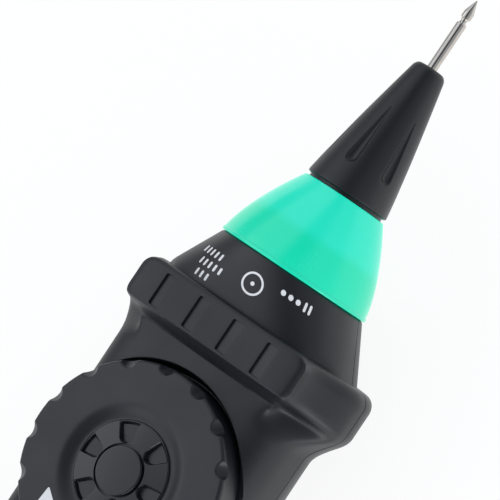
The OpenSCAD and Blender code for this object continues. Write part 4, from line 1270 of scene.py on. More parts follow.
@dataclass
class UpperShell(Shell):
    """Upper shell with the dial's well, the display's pocket, three key holes and the pad's
    grip grooves."""

    dial_x: float = 130.0
    well_r: float = 15.75
    well_z: float = 22.3  # Height of the well's floor
    pan_z: float = 20.7  # Underside of the floor
    stem_r: float = 6.06  # Radius of the hole for the stem
    lens_x: float = 88.0  # Middle of the display
    lens_size: Pair = (42.2, 19.8)  # Size of the lens's pocket
    window: Pair = (37.2, 14.8)
    pocket_z: float = 23.85  # Height of the ledge round the window
    shelf_z: float = 22.65  # Underside of the ledge
    key_x: float = 49.5
    key_pitch: float = 9.0
    key_hole: Pair = (6.2, 13.6)
    groove_count: int = 4
    groove_pitch: float = 6.0
    groove_size: Pair = (4.7, 1.9)  # Length along the pen and width of a groove
    groove_depth: Pair = (0.06, 0.38)  # Least and greatest depth of a groove's ramp
    upper: bool = True

    def well(self) -> Hole:
        """The dial's well. Its edge is a circle on the top, and where the circle leaves the case
        it runs along the side at the floor's height.

        Returns:
            The hole, which goes on down the wall, across the floor to the dial's stem, through
            it, and back under the floor.
        """
        a = around(420)
        left = np.sin(a) > 0
        level, reach = 0 * a + self.well_z, 0 * a + self.well_r
        for _ in range(6):
            side = self.sheet.at(self.sheet.find_side(self.dial_x + reach * np.cos(a), level, left))
            reach = np.minimum(self.well_r, np.abs(side[:, 1]) / np.maximum(np.abs(np.sin(a)), 1e-6))
        x, y = self.dial_x + reach * np.cos(a), reach * np.sin(a)
        opens = (reach < self.well_r - 1e-6)[:, None]
        top = self.sheet.find(np.column_stack([x, y]))
        return Hole(np.where(opens, self.sheet.find_side(x, level, left), top), self.well_rows)

    def well_rows(self, edge: Array) -> list[Array]:
        """Rows from the well's edge to the underside of its floor.

        Args:
            edge: Points of the edge.

        Returns:
            Rows that each run a depth down the wall and, past its foot, towards the stem.
        """
        radius = np.hypot(edge[:, 0] - self.dial_x, edge[:, 1])
        height = np.maximum(edge[:, 2] - self.well_z, 0)
        base = np.maximum(height, 0.21)
        profile = [(radius - np.maximum(depth - height, 0), np.maximum(edge[:, 2] - depth, self.well_z))
                   for depth in (0.2 + 0 * base, 0.1 + base / 2, base, base + 0.3)]
        profile += [(radius * 0.8, self.well_z), (self.stem_r + 0.3, self.well_z),
                    (self.stem_r, self.well_z - 0.3), (self.stem_r, self.pan_z), (radius - 1.4, self.pan_z)]
        a = around(len(edge))
        return [np.stack([self.dial_x + r * np.cos(a), r * np.sin(a), z + 0 * a], 1) for r, z in profile]

    def display_pocket(self) -> Hole:
        """Pocket of the display lens, with a ledge round the window.

        Returns:
            The hole: down the pocket's wall, across the ledge, and through the window.
        """
        edge, pane = rounded_outline(*self.lens_size, 2.1, 360), rounded_outline(*self.window, 1.0, 360)
        rows = layers([(edge, self.pocket_z), (pane, self.pocket_z), (pane, self.shelf_z),
                       (edge * 1.05, self.shelf_z)], self.lens_x)
        return Hole(self.sheet.find(edge + [self.lens_x, 0]),
                    lambda corner: [corner - [0, 0, 0.15], *rows], 0.15)

    def key_slot(self, number: int) -> Hole:
        """Hole of a key, -1, 0 or 1: a slot with round ends across the pen."""
        edge = rounded_outline(*self.key_hole, self.key_hole[0] / 2 - 0.001, 150)
        return Hole(self.sheet.find(edge + [self.key_x + number * self.key_pitch, 0]), straight(-0.2, -1.0))

    def groove(self, number: int) -> Hole:
        """Grip groove on the pad: a floor that ramps from a steep left wall up to nothing.

        Args:
            number: Its place, from the right.

        Returns:
            The pocket. Its rows are the outline drawn in to its middle line on the ramp, whose
            depth grows evenly with y.
        """
        length, width = self.groove_size
        edge = rounded_outline(length, width, 0.2, 96)
        middle = np.array([self.form.guard_back + 0.6 + (self.form.guard_len - 1.3) / 2,
                           (number - (self.groove_count - 1) / 2) * self.groove_pitch])

        def down(corner: Array) -> list[Array]:
            """Rows from the edge down to the ramp and in on it.

            Args:
                corner: Points of the edge.

            Returns:
                The rows.
            """
            rows = [corner - [0, 0, 0.05]]
            for k in (1.0, 0.6, 0.2, 0.0):
                along = middle[0] + edge[:, 0] * (0.5 + 0.5 * k)
                top = corner[:, 2] if k == 1 else corner[:, 2].mean()
                depth = np.interp(edge[:, 1] * k, (-width / 2, width / 2), self.groove_depth)
                rows.append(np.stack([along, middle[1] + edge[:, 1] * k, top - depth], 1))
            return rows

        return Hole(self.sheet.find(middle + edge), down, 0.07, lid=True)

    def build(self) -> None:
        """Builds the shell, and the marks printed on it."""
        self.shell([self.well(), self.display_pocket(), *map(self.key_slot, (-1, 0, 1)),
                    *map(self.groove, range(self.groove_count))], "shell_upper", "upper_case")
        Marks(self.sheet).build()


@dataclass
class LowerShell(Shell):
    """Lower shell with the battery cover's opening, countersunk screw holes and the socket's
    hole in the tail."""

    upper: bool = False
    bay: Pair = (29.0, 86.3)  # Ends of the battery bay along the pen
    bay_w: float = 21.9
    # Places of the screws
    posts: tuple[Pair, ...] = ((144.4, -10.4), (144.4, 10.4), (19.5, -8.8), (19.5, 8.8))
    head_r: float = 2.15  # Radius of a screw's hole
    socket_z: float = 9.6  # Height of the lead socket
    socket_r: float = 5.45  # Radius of its sleeve's hole

    def screw_hole(self, x: float, y: float) -> Hole:
        """Hole of a screw's head, straight up from the belly.

        Args:
            x: Its place along the pen.
            y: Its place across it.

        Returns:
            The hole, with the head's seat and the screw's own hole.
        """
        seat = circle(self.head_r, 72)

        def up(corner: Array) -> list[Array]:
            """Rows up the wall to the head's seat and in to the screw's hole."""
            flat = layers([(seat * share, corner[:, 2].max() + 2.0) for share in (1, 0.6)], x)
            return [corner + [0, 0, 0.12], *(flat + [0, y, 0])]

        return Hole(self.sheet.find(seat + [x, y]), up, 0.12)

    def socket_hole(self) -> Hole:
        """Round hole in the tail's face.

        Returns:
            The hole. A point of the face lies on the ray from the split line's middle through
            the point of the rim at the same angle, and its share of that ray gives its place
            along the sheet.
        """
        a = around(120)
        y, z = self.socket_r * np.cos(a), self.socket_z + self.socket_r * np.sin(a)
        rim = self.sheet.xyz[self.cap_rows - 1]
        way = np.arctan2(SPLIT_Z - rim[:, 2], rim[:, 1])
        angle = np.arctan2(SPLIT_Z - z, y)
        far = np.interp(angle, way, np.hypot(rim[:, 1], rim[:, 2] - SPLIT_Z))
        share = np.hypot(y, z - SPLIT_Z) / far
        p = np.interp(share, np.linspace(0, 1, self.cap_rows), self.sheet.p[:self.cap_rows])
        return Hole(np.stack([p, np.interp(angle, way, self.sheet.s)], 1),
                    lambda corner: [corner + [0.15, 0, 0], corner + [2.0, 0, 0]], 0.15)

    def build(self) -> None:
        """Builds the shell, with the opening of the battery bay."""
        edge = rounded_outline(self.bay[1] - self.bay[0], self.bay_w, 0.4, 420) + [sum(self.bay) / 2, 0]
        self.shell([Hole(self.sheet.find(edge), straight(0.15, 1.3), 0.15), self.socket_hole(),
                    *(self.screw_hole(*post) for post in self.posts)], "shell_lower", "lower_case")


@dataclass
class BatteryCover:
    """Cover of the battery bay: a piece of the belly with rounded edges, an arrow of grip
    grooves and the screw's counterbore."""

    form: CaseForm
    bay: Pair = (29.15, 86.15)  # Ends of the cover along the pen
    width: float = 21.6
    thick: float = 1.4
    screw: Pair = (82.3, 1.85)  # The screw's place along the pen and the radius of its counterbore
    # Number of grooves, place of the first and distance to the next
    grooves: tuple[int, float, float] = (7, 70.3, 2.2)
    # Radius of a groove's round section and how high its centre lies outside the face
    dent: Pair = (0.8, 0.45)

    def build(self) -> None:
        """Builds the cover. A groove's depth is the root of the dent's radius squared less the
        distance squared from the groove's line, less the height of the dent's centre."""
        xs = np.arange(28.0, 88.0, 0.35)
        sheet = Sheet([self.form.section(x, False) for x in xs])
        sheet.p = xs
        edge = rounded_outline(self.bay[1] - self.bay[0], self.width, 0.35, 420)
        ring = circle(self.screw[1], 60) + [self.screw[0], 0]
        hole = Hole(sheet.pass_by(ring[:, 0], ring[:, 1], 1), straight(0.1, 0.78), 0.1)
        border = Hole(sheet.pass_by(sum(self.bay) / 2 + edge[:, 0], edge[:, 1], 1), straight(0.15, 1.2), 0.15)
        skin = sheet.fill(border, [hole], 0.35, self.thick)
        count, first, step = self.grooves
        for spots in skin.points:
            dip = np.zeros(len(spots))
            for number in range(count):
                off = np.maximum(np.abs(spots[:, 1]) - 6 + 0.6 * number, 0)
                away = (spots[:, 0] - first + step * number) ** 2 + off ** 2
                dip = np.maximum(dip, np.sqrt(np.maximum(self.dent[0] ** 2 - away, 0)) - self.dent[1])
            spots[:, 2] += dip
        skin.piece("cover_battery", [CASE_ABS], "battery_cover")


@dataclass
class Dial:
    """Range dial: flat face, scooped rim, soft bowl, glossy hub with petal pockets round a raised
    disc, and a white pointer let into the face."""

    x: float = 130.0  # Centre
    radius: float = 15.0
    top: float = 27.6  # Height of the face
    base: float = 22.6  # Height of the underside
    foot: float = 19.95  # Lower end of the stem
    stem_r: float = 6.0
    hub_r: float = 7.0
    disc_r: float = 3.36  # Radius of the raised disc in the hub's middle
    turn: float = 145.0  # Angle of the pointer at rest, in degrees
    scoops: int = 16  # Scoops round the rim
    scoop_r: float = 1.5
    scoop_lean: float = 46.0  # Its lean, in degrees
    scoop_in: float = 1.3  # How far it reaches in from the rim
    petals: int = 6  # Pockets in the hub
    edge: float = 0.6  # Rounding of the rim
    bowl: float = 0.7
    pocket: float = 0.95  # Depth of the petal pockets
    tip_r: float = 13.5  # Distance of the pointer's tip from the centre
    pointer: float = 4.0  # Length of its sides
    columns: int = 640  # Points in a row

    def scoop_height(self, r: Array, a: Array) -> Array:
        """Height of the scoops' floors over the face, far above it where there is none.

        Args:
            r: Radius.
            a: Angle from the pointer.

        Returns:
            A cylinder that leans outwards meets the face in an ellipse about middle, and its
            floor falls from the ellipse's inner edge outwards by the tangent of its lean.
        """
        x, y = nearest(self.scoops, r, a)
        lean = math.radians(self.scoop_lean)
        half = self.scoop_r / math.cos(lean)
        middle = self.radius + half - self.scoop_in
        inner = middle - half * np.sqrt(np.maximum(0, 1 - (y / self.scoop_r) ** 2))
        return np.where(np.abs(y) < self.scoop_r, -(x - inner) / math.tan(lean), 3.0)

    def face(self, r: Array, a: Array) -> Array:
        """Height of the face: disc, petal pockets, hub, bowl and flat ring.

        Args:
            r: Radius.
            a: Angle from the pointer.

        Returns:
            Millimetres above the flat ring.
        """
        disc, hub = self.disc_r, self.hub_r
        # A petal is a round end about inner, then two sides that open outwards to the hub's edge.
        x, y = nearest(self.petals, r, a)
        inner, outer = disc + 1.45, hub - 0.25
        half = 1.05 + (x - inner + 0.4) / (outer - inner + 0.4) * 0.55
        sides = np.minimum(half - np.abs(y), outer - r)
        share = ease((np.where(x > inner, sides, 1.1 - np.hypot(x - inner, y)) + 0.02) / 0.34)
        bowl = -self.bowl * ease((hub + 2.4 - r) / 2.4)
        raised = np.interp(r, [disc + 0.36, hub - 0.22, hub - 0.06, hub + 0.02], [0.1, -0.36, -0.42, -0.66])
        raised = raised * (1 - share) - self.pocket * share
        dome = 0.5 - 0.08 * (r / disc) ** 2 - 0.12 * quarter((r - disc + 0.25) / 0.25)
        out = np.where(r > hub + 0.02, bowl, raised)
        return np.where(r < disc, dome, np.where(r < disc + 0.33, -0.3, out))

    def place(self, r: Array, a: Array, z: Array) -> Array:
        """Points at radius r, angle a from the pointer and height z over the face."""
        x, y = r * np.cos(a + math.radians(self.turn)), r * np.sin(a + math.radians(self.turn))
        return np.stack(np.broadcast_arrays(self.x + x, y, self.top + z), -1)

    def knob(self) -> None:
        """Builds the knob: face rows by radius, edge rows round a quarter circle, side rows by
        height, all cut by the scoops, then the underside and the stem."""
        disc, hub, low, foot = self.disc_r, self.hub_r, self.base - self.top, self.foot - self.top
        a = around(self.columns)
        r = np.concatenate([
            [0.0], np.linspace(0.5, disc - 0.3, 6), np.linspace(disc - 0.24, disc - 0.001, 6),
            disc + np.array([0.001, 0.325, 0.335]), np.linspace(disc + 0.4, hub - 0.3, 34),
            np.linspace(hub - 0.22, hub + 0.02, 5), np.linspace(hub + 0.1, hub + 2.4, 12),
            hub + np.array([3.2, 4.4, 5.4, 6.2]), np.linspace(13.5, self.radius - self.edge, 9)])
        r = r[:, None] + 0 * a
        plain = self.face(r, a)
        z = np.where(r < 12.5, plain, soft_min(plain, self.scoop_height(r, a), 0.1))
        turn = swept(0, 1, 7)[1:]
        side = np.concatenate([np.linspace(-self.edge - 0.12, -1.9, 11), np.linspace(-2.4, low + 0.3, 6)])
        rim_r = np.append(self.radius - self.edge * (1 - np.sin(turn)), self.radius + 0 * side)
        rim_r = rim_r[:, None] + 0 * a
        rim_z = np.append(-self.edge * (1 - np.cos(turn)), side)[:, None]
        rim_z = np.maximum(soft_min(rim_z, self.scoop_height(rim_r, a), 0.12), low + 0.3)
        shut = np.array([[self.radius - 0.3, low], [self.stem_r + 1.6, low], [self.stem_r, low],
                         [self.stem_r, foot], [0.0, foot]])
        rows = np.concatenate([self.place(r, a, z), self.place(rim_r, a, rim_z),
                               self.place(shut[:, :1], a, shut[:, 1:])])
        rest = int(np.sum(r[:, 0] <= hub + 0.021)) - 1
        Skin().grid(rows[:rest + 1], 1, True).grid(rows[rest:], 0, True).piece(
            "dial_knob_shaped", [DIAL_ABS, HUB_ABS], "dial_knob", "dial", 40, 0.001)

    def pointer_piece(self) -> None:
        """Builds the pointer: a triangle with round corners and a slightly domed top."""
        a = around(120)
        flat = self.pointer * math.sqrt(3) / 6
        near = np.abs(np.arctan2(*nearest(3, 1.0, a)[::-1]))
        reach = np.minimum(flat / np.maximum(np.cos(math.pi / 3 - near), 0.1), flat * 1.86)
        rows = []
        for share, z in ((0.0, -0.3), (1.0, -0.3), (1.0, 0.0), (0.97, 0.03), (0.6, 0.04), (0.0, 0.045)):
            x, y = self.tip_r - 2 * flat + share * reach * np.cos(a), share * reach * np.sin(a)
            rows.append(self.place(np.hypot(x, y), np.arctan2(y, x), z))
        Skin().grid(np.stack(rows)).piece("dial_pointer_white", [POINTER_FILL], "dial_pointer", "dial")

    def build(self) -> None:
        """Builds the knob and its pointer."""
        self.knob()
        self.pointer_piece()


@dataclass
class Nose:
    """Light ring, nose cone and probe needle about the probe's axis."""

    start: float = 163.8  # Rear end of the ring
    ring_len: float = 12.3
    ring_r: Pair = (11.3, 6.2)  # Radii of its rear and front
    ring_wall: float = 1.5
    cone_gap: float = 0.5  # Dark joint between ring and cone
    cone_len: float = 20.3
    cone_r: Pair = (6.2, 2.3)  # Radii of its rear and front
    # Inner and outer radius of the land on its rear face, which fills the joint
    land_r: Pair = (4.75, 5.65)
    cone_round: float = 0.9  # Rounding of its tip
    spigot_r: float = 3.25  # Radius of the bore in its rear
    dimples: int = 6  # Grip dimples round it
    dimple_x: Pair = (4.8, 13.0)  # Where they start and run out, from its rear
    dimple_ball: float = 1.2  # Radius of their rear ends
    dimple_depth: float = 0.5
    bore_r: float = 1.05
    needle_r: float = 0.75
    head_len: float = 3.5
    rear: float = 150.5  # Its hidden end

    @property
    def cone_start(self) -> float:
        """Rear end of the cone."""
        return self.start + self.ring_len + self.cone_gap

    def ring_at(self, t: Array) -> Array:
        """Radius of the ring at a share t of its length: it falls with t to the power 1.5."""
        return self.ring_r[1] + (self.ring_r[0] - self.ring_r[1]) * (1 - t ** 1.5)

    def cone_at(self, x: Array) -> Array:
        """Radius of the cone: nearly straight, with its round tip.

        Args:
            x: Distance from its rear.

        Returns:
            The radius.
        """
        t = np.clip(x / self.cone_len, 0, 1)
        tip = (x - self.cone_len + self.cone_round) / self.cone_round
        return self.cone_r[1] + (self.cone_r[0] - self.cone_r[1]) * (1 - t ** 1.12) - 0.6 * quarter(tip)

    def ring(self) -> None:
        """Builds the ring: outside with a thin raised rim at its base, front face, inside."""
        t = np.linspace(0.05, 1, 60)
        (base, tip), length, wall = self.ring_r, self.ring_len, self.ring_wall
        profile = [(0.0, base - wall), (0.0, base - 0.05), (0.05, base + 0.06), (0.15, base + 0.1),
                   (0.4, base + 0.1), (0.5, base + 0.05), (0.55, base - 0.04)]
        profile += list(zip(length * t, self.ring_at(t)))[:-1]
        profile += [(length - 0.08, tip + 0.08), (length, tip - 0.05), (length, tip - wall + 0.06)]
        profile += list(zip((length - wall) * t[::-1], self.ring_at(t[::-1]) - wall)) + [profile[0]]
        collar = self.start - TOTAL_LEN / 2 + length * 0.4
        # Bright green painted glow, deep at the base and paler in its front half.
        glow = LitPolycarbonate("Polycarbonate moulded green and lit", Slot.RING, "#00BF9A", "#16C6AA",
                                (0.18, 0.28), (collar, collar + 1.4))
        Skin().grid(swung(profile, 224) + [self.start, 0, AXIS_Z]).piece("ring_lit", [glow], "light_ring")

    def dimple_dip(self, x: Array, a: Array, radius: Array) -> Array:
        """Depth of the grip dimples.

        Args:
            x: Distance from the cone's rear.
            a: Angle round the axis.
            radius: Radius of the plain cone there.

        Returns:
            A ball at the rear end and a slim cone that runs out forwards are sunk into the
            surface; the depth is the root of their radius squared less the distance to their
            line squared, less the height of that line above the surface.
        """
        rise, across = nearest(self.dimples, radius, a - math.radians(92))
        start, end = self.dimple_x
        share = np.clip((x - start) / (end - start), 0, 1)
        first = self.cone_at(start) + self.dimple_ball - self.dimple_depth
        line = first + (self.cone_at(end) - first) * share
        ball = self.dimple_ball * (1 - share) + 0.05 * share
        inside = ball ** 2 - across ** 2 - np.maximum(start - x, 0) ** 2
        depth = np.sqrt(np.maximum(inside, 0)) - (line - rise)
        depth = np.where((inside > 0) & (x < end), depth, -1.0)
        return -soft_min(-depth, 0.0, 0.06)

    def cone(self) -> None:
        """Builds the cone: rear face, dimpled side, round tip and the needle's mouth."""
        length, joint = self.cone_len, 0.02 - self.cone_gap
        tip = length - self.cone_round * (1 - np.sin(np.linspace(0.15, math.pi / 2, 9)))
        x = np.concatenate([[0.0, 0.12, 0.3], np.linspace(0.6, 3.2, 8), np.linspace(3.35, 13.4, 68),
                            np.linspace(14, length - self.cone_round, 12), tip])[:, None]
        a = around(480)
        r = self.cone_at(x)
        r = r - 0.3 * quarter((0.3 - x) / 0.3) - self.dimple_dip(x, a, r)
        side = np.stack(np.broadcast_arrays(x, r * np.cos(a), r * np.sin(a)), -1)
        ends = [(0.0, self.spigot_r), (0.0, self.land_r[0]), (joint, self.land_r[0]), (joint, self.land_r[1]),
                (0.0, self.land_r[1])]
        mouth = [(length, self.needle_r + 0.13), (length - 0.08, self.needle_r + 0.09),
                 (length - 0.6, self.bore_r), (8.0, self.bore_r), (8.0, self.spigot_r), (0.0, self.spigot_r)]
        rows = np.concatenate([swung(ends, 480), side, swung(mouth, 480)]) + [self.cone_start, 0, AXIS_Z]
        Skin().grid(rows).piece("cone_grip", [CONE_PA], "nose_cone", sharp=40, weld=0.001)

    def needle(self) -> None:
        """Builds the needle: shank in the nose, bright pin, two-step waist and spear head."""
        front = TOTAL_LEN - self.rear
        root, r, shank = front - self.head_len, self.needle_r, self.bore_r - 0.05
        step = self.cone_start + self.cone_len - self.rear
        profile = [(0, 0), (0, 0.85), (0.15, shank), (8.3, shank), (8.3, 1.8), (9.7, 1.8), (9.7, shank),
                   (step - 0.6, shank), (step + 0.05, r), (root - 0.42, r), (root - 0.3, r * 0.97),
                   (root - 0.05, r * 0.66), (root + 0.1, r * 0.6), (root + 0.3, r * 0.6),
                   (root + 0.5, r * 0.7), (root + 0.66, r * 0.98), (root + 0.74, r),
                   (root + self.head_len * 0.42, r), (root + self.head_len * 0.46, r * 0.97),
                   (front - 0.14, 0.11), (front - 0.04, 0.05), (front, 0)]
        Skin().grid(swung(profile, 72) + [self.rear, 0, AXIS_Z]).piece(
            "needle_plated", [NICKEL], "probe_needle", sharp=28, weld=0.0005)

    def build(self) -> None:
        """Builds the three pieces."""
        self.ring()
        self.cone()
        self.needle()


@dataclass
class Keys:
    """Three rubber keys with round ends, crowned tops and plain white marks."""

    x: float = 49.5  # The middle key's
    pitch: float = 9.0
    size: Pair = (5.6, 13.0)  # Length along the pen and width of a key
    top: float = 26.2  # Height of a key's top
    foot: float = 22.35  # Height of its flange's underside
    flange: float = 0.8  # Width and thickness of the flange
    edge: float = 0.5  # Rounding of its upper edge
    crown: float = 0.14

    def key(self, number: int, name: str, body: str) -> None:
        """Builds one key. Its rows are the outline drawn in towards its middle line, by a
        quarter circle at the edge and then over the crown.

        Args:
            number: Its place, -1, 0 or 1.
            name: The CAD node that it replaces.
            body: The body that it rides on.
        """
        length, width = self.size
        half, shelf, x = length / 2, self.foot + self.flange, self.x + number * self.pitch
        full = rounded_outline(length, width, half - 0.001, 160)
        lip = self.flange
        wide = rounded_outline(length + 2 * lip, width + 2 * lip, half + lip - 0.01, 160)
        spine = np.column_stack([0 * full[:, 0], np.clip(full[:, 1], half - width / 2, width / 2 - half)])
        rows = [(spine, self.foot), (wide, self.foot), (wide, shelf), (full, shelf)]
        for a in swept(0, 1, 7):
            share, height = 1 - self.edge * (1 - math.cos(a)) / half, self.edge * (1 - math.sin(a))
            rows.append((spine + (full - spine) * share, self.top - self.crown - height))
        for share in (0.75, 0.6, 0.45, 0.3, 0.15, 0.0):
            rows.append((spine + (full - spine) * share, self.top - self.crown * (share / 0.82) ** 2))
        # Plain marks: a bar, a ring and a triangle.
        line = (np.array([[0.28, 1.1], [-0.28, 1.1], [-0.28, -1.1], [0.28, -1.1]]), circle(0.98, 48),
                -1.12 * circle(0.98, 3))[number]
        inner, high, low = 0.63 if number == 1 else 0.0, self.top + 0.015, self.top - 0.05
        mark = [(line * share, z)
                for share, z in ((inner, low), (inner, high), (1, high), (1, low), (inner, low))]
        Skin().grid(layers(rows, x)).grid(layers(mark, x), 1, True).piece(
            name + "_rubber", [KEY_RUBBER, INK], name, body, 45)

    def build(self) -> None:
        """Builds the three keys, each on its own body."""
        for number, name in ((1, "select"), (0, "hold"), (-1, "range")):
            self.key(number, name + "_key", "key_" + name)


@dataclass
class Display:
    """Display: acrylic lens with a black printed border, and a liquid-crystal cell with digits."""

    x: float = 88.0  # Its middle
    size: Pair = (42.0, 19.6)
    window: Pair = (36.6, 14.2)  # Size of its clear part
    z: Pair = (23.87, 24.95)  # Heights of the lens's back and front
    panel_z: float = 22.55  # Height of the cell's face
    panel: Pair = (38.0, 18.6)
    reading: str = "0000"  # Its digits, read with the needle pointing left
    digit: Pair = (8.6, 7.6)  # Height of a digit and distance to the next
    film: float = 0.02  # Thickness of a segment
    cell: Skin = field(default_factory=Skin)  # Takes the cell and its segments

    def lens(self) -> None:
        """Builds the lens: plate with a rounded top edge, its border printed on the back."""
        full, pane = rounded_outline(*self.size, 2.0, 320), rounded_outline(*self.window, 1.2, 320)
        drawn, near = (full * (1 - 2 * inset / np.array(self.size)) for inset in (0.25, 0.08))
        low, high = self.z
        skin = Skin()
        for kind, rows in ((0, [(pane * k, high) for k in (0.0, 0.5, 1.0)]),
                           (1, [(pane, high), (drawn, high), (near, high - 0.04), (full, high - 0.2),
                                (full, low), (pane, low)]),
                           (0, [(pane * k, low) for k in (1.0, 0.5, 0.0)])):
            skin.grid(layers(rows, self.x), kind, flip=True)
        skin.piece("lens_acrylic", [ACRYLIC, BORDER], "display_lens")

    def segment(self, line: Array, x: float) -> None:
        """Adds a flat closed shape to the cell's face.

        Args:
            line: Its outline as read, up and to the left.
            x: Where the outline's origin goes along the pen.
        """
        turned = np.column_stack([line[:, 1], -line[:, 0]])
        middle = turned.mean(0) + 0 * turned
        high, low = self.panel_z + self.film, self.panel_z
        self.cell.grid(layers([(middle, high), (turned, high), (turned, low), (middle, low)], x), kind=1)

    def strokes(self, digit: str, x: float) -> None:
        """Adds one seven-segment digit as slanted bars with pointed ends.

        Args:
            digit: 0 to 9.
            x: Its middle along the pen.
        """
        lit = "abcdef bc abged abgcd fgbc afgcd afgedc abc abcdefg abcdfg".split()[int(digit)]
        h, w, t = self.digit[0] / 2, self.digit[0] * 0.27, self.digit[0] * 0.06
        ends = dict(a=(h, -w, h, w), b=(h, -w, 0, -w), c=(0, -w, -h, -w), d=(-h, -w, -h, w),
                    e=(-h, w, 0, w), f=(0, w, h, w), g=(0, -w, 0, w))
        for key in lit:
            one, two = np.array(ends[key], float).reshape(2, 2)
            way = (two - one) / np.linalg.norm(two - one) * t
            side = np.array([-way[1], way[0]])
            one, two = one + way * 0.35, two - way * 0.35
            line = np.array([one, one + way + side, two - way + side, two, two - way - side,
                             one + way - side])
            line[:, 1] -= line[:, 0] * 0.1
            self.segment(line, x)

    def crystal(self) -> None:
        """Builds the cell: two glass plates, the lower one shorter at its ends, and the digits
        with a decimal point after the second."""
        (length, width), top = self.panel, self.panel_z
        for size, z0, z1 in (((length, width), top - 1.5, top), ((length - 5, width), top - 2.6, top - 1.52)):
            line = rounded_outline(*size, 0.3, 80)
            shares = ((0.0, z1), (0.99, z1), (1.0, z1 - 0.1), (1.0, z0 + 0.1), (0.99, z0), (0.0, z0))
            self.cell.grid(layers([(line * k, z) for k, z in shares], self.x), flip=True)
        for number, digit in enumerate(self.reading):
            x = self.x - (len(self.reading) / 2 - 0.5 - number) * self.digit[1]
            self.strokes(digit, x)
            if number == 1:
                self.segment(circle(0.45, 24)[::-1] + [4.1, 3.8], x)
        self.cell.piece("cell_liquid_crystal", [CRYSTAL, SEGMENT], "display_panel")

    def build(self) -> None:
        """Builds the lens and the cell."""
        self.lens()
        self.crystal()


def seen_plainly(tree: Tree) -> Socket:
    """Tells rays that see a surface plainly from those that only bring its light.

    Args:
        tree: The material's or world's nodes.

    Returns:
        1 for rays from the camera, off a glossy surface or through a clear one, else 0.
    """
    path = add(tree, "LightPath").outputs
    seen = path["Is Camera Ray"]
    for name in ("Is Glossy Ray", "Is Transmission Ray"):
        seen = add(tree, "Math", seen, path[name], operation="MAXIMUM").outputs[0]
    return seen


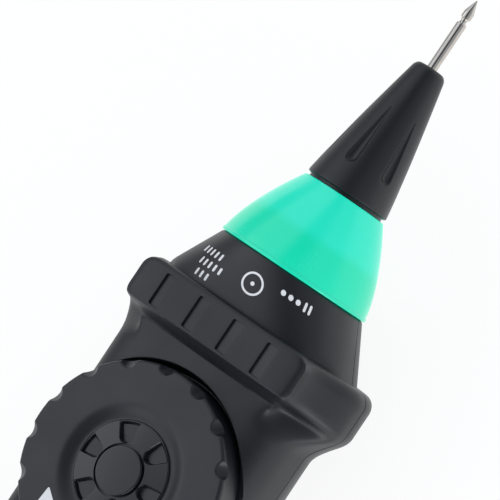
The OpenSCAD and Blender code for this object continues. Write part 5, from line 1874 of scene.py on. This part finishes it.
@dataclass
class Studio:
    """Plain pale floor, soft studio lights and the camera at the photograph's angle."""

    target: Point = (0.05945, 0.0059, 0.0205)  # Point in the picture's middle, in metres
    right: Point = (0.557, -0.7333, -0.3899)  # Direction that is right in the picture
    up: Point = (0.8305, 0.4918, 0.2615)  # Direction that is up in the picture
    distance: float = 0.4  # From the target, in metres
    lens: float = 216.0  # Focal length for a 36 mm sensor
    aim: Point = (0.03, 0.0, 0.015)  # What the lamps look at
    around_level: float = 0.8  # Light from all round
    # What reflections see, as angles about the pen from straight up and levels
    tent: tuple[Pair, ...] = ((-180, 1.0), (-92, 1.0), (-78, 0.5), (-40, 0.5), (-28, 0.06), (-2, 0.06),
                              (8, 1.0), (60, 1.0), (70, 0.25), (100, 0.25), (112, 1.0))

    def camera(self) -> None:
        """Puts the camera behind the target along the cross product of right and up."""
        right, up = Vector(self.right).normalized(), Vector(self.up).normalized()
        back = right.cross(up).normalized()
        up = back.cross(right)
        data = bpy.data.cameras.new("camera")
        data.lens = self.lens
        data.clip_start, data.clip_end = 0.01, 20.0
        made = bpy.context.scene.camera = put("camera", data)
        made.matrix_world = Matrix.Translation(Vector(self.target) + back * self.distance) @ Matrix(
            (right, up, back)).transposed().to_4x4()

    def lamp(self, name: str, place: Point, size: Pair, watts: float) -> None:
        """A soft box that looks at the meter's middle.

        Args:
            name: Name of the lamp.
            place: Where it hangs, in metres.
            size: Its two sides.
            watts: Its power.
        """
        data = bpy.data.lights.new(name, "AREA")
        data.shape = "RECTANGLE"
        data.size, data.size_y = size
        data.energy = watts
        made = put(name, data)
        made.location = place
        made.rotation_euler = (Vector(self.aim) - Vector(place)).to_track_quat("-Z", "Y").to_euler()

    def floor(self) -> None:
        """Pale floor that takes the shadow: matt paper with a fine tooth."""
        mesh = bpy.data.meshes.new("floor")
        low = -0.02 * MM
        mesh.from_pydata([(-0.9, -0.9, low), (0.9, -0.9, low), (0.9, 0.9, low), (-0.9, 0.9, low)], [],
                         [(0, 1, 2, 3)])
        finish = bpy.data.materials.new("Paper sweep matt white")
        finish.use_nodes = True
        tree = finish.node_tree
        tooth = Layer(0.7, {"Detail": 3}).draw(tree, add(tree, "TexCoord").outputs["Object"])
        shader = tree.nodes["Principled BSDF"]
        bump = add(tree, "Bump", Height=tooth, Distance=0.04 * MM, Strength=0.6)
        for name, value in (("Base Color", to_linear("#F4F4F4")), ("Roughness", 0.85), ("Normal", bump)):
            feed(tree, shader.inputs[name], value)
        # Seen directly or mirrored, most of the paper is plain white and the rest keeps the shadow.
        share = add(tree, "Math", seen_plainly(tree), 0.85, operation="MULTIPLY")
        glow = add(tree, "Emission", (1, 1, 1, 1), 1.045)
        feed(tree, tree.nodes["Material Output"].inputs["Surface"],
             add(tree, "MixShader", share, shader, glow))
        mesh.materials.append(finish)
        put("floor", mesh)

    def world(self) -> None:
        """Soft light all round, and white where the camera looks past the meter.

        Reflections see a white tent with two dark openings, one above and one low on the left.
        Its level is a ramp over the direction's angle about the pen, arctan(y / z).
        """
        world = bpy.data.worlds.new("studio")
        world.use_nodes = True
        tree = world.node_tree
        way = add(tree, "SeparateXYZ", add(tree, "TexCoord").outputs["Generated"]).outputs
        angle = add(tree, "Math", way[1], way[2], operation="ARCTAN2")
        tent = add(tree, "ValToRGB", add(tree, "MapRange", angle, -math.pi, math.pi, 0, 1))
        stops = tent.color_ramp.elements
        for number, (degrees, level) in enumerate(self.tent):
            stop = stops[number] if number < 2 else stops.new(1.0)
            stop.position = (degrees + 180) / 360
            stop.color = (level, level, level, 1.0)
        path = add(tree, "LightPath").outputs
        other = add(tree, "MapRange", seen_plainly(tree), 0, 1, self.around_level, 1)
        level = add(tree, "Mix", path["Is Glossy Ray"], other, tent, data_type="RGBA")
        shade = add(tree, "Mix", path["Is Camera Ray"], to_linear("#EFF5FF"), to_linear("#FFFFFF"),
                    data_type="RGBA")
        back = tree.nodes["Background"]
        feed(tree, back.inputs["Color"], shade)
        feed(tree, back.inputs["Strength"], level)
        bpy.context.scene.world = world
        bpy.context.scene.view_settings.view_transform = "Standard"

    def build(self) -> None:
        """Sets up everything round the meter."""
        self.camera()
        self.floor()
        self.world()
        for name, *lamp in (("key_softbox", (0.0, 0.5, 0.5), (0.5, 0.4), 0.4),
                            ("fill_softbox", (-0.5, 0.1, 0.35), (0.4, 0.4), 0.3),
                            ("side_strip", (-0.35, -0.45, 0.12), (0.5, 0.2), 1.3)):
            self.lamp(name, *lamp)


@dataclass
class Innards:
    """CAD nodes that stay as they are and get their own finishes."""

    cap: float = 5.0  # Length of a fuse's metal cap
    band: float = 12.0  # Length of the coloured band on a cell
    button: float = 1.4  # Bare end of a cell beyond its band

    def build(self) -> None:
        """Gives every carried-over node its material."""
        fuse, left, right = ([end.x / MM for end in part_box(name)]
                             for name in ("fuse", "cell_left", "cell_right"))
        film = ("#27502F", "#B98A3A", (0.2, 0.34))
        stays = {
            ZINC: ("cover_screw", "case_screws", "detent_balls", "detent_springs", "cell_contacts",
                   "cell_springs"),
            BRASS: ("probe_clip", "rotor_wipers", "fuse_clips", "lead_socket"),
            NYLON: ("nose_tube", "switch_rotor", "display_frame"),
            EPOXY: ("key_switches", "meter_chip", "buzzer", "socket_sleeve"),
            LAMP_EPOXY: ("ring_lamps",), ZEBRA: ("display_strips",), BOARD: ("main_board",),
            # Clear tube greyed by flux between two silver caps.
            Banded("Glass fuse tube with nickel caps", Slot.FUSE, "#C6C7C9", "#E4ECEC", (0.06, 0.24),
                   fuse[0] + self.cap, fuse[1] - self.cap, (1.0, 0.0), (0.0, 0.9), 1.2): ("fuse",),
            # Glossy dark green film with an ochre band at the button's end.
            Banded("Steel cell in printed jacket", Slot.JACKET, *film, left[1] - self.band,
                   left[1] - self.button): ("cell_left",),
            Banded("Steel cell in printed jacket turned", Slot.JACKET, *film, right[0] + self.button,
                   right[0] + self.band): ("cell_right",)}
        for finish, names in stays.items():
            for name in names:
                node = frame["nodes"][name]
                node.data.materials.clear()
                node.data.materials.append(finish.make())
                log.info("%s: kept, %s", name, finish.name)


def main() -> None:
    """Builds and dresses every piece."""
    logging.basicConfig(level=logging.INFO, format="%(message)s")
    form = CaseForm()
    for part in (Studio(), Innards(), UpperShell(form), LowerShell(form), BatteryCover(form), Dial(), Nose(),
                 Keys(), Display()):
        part.build()


if __name__ == "__main__":
    main()
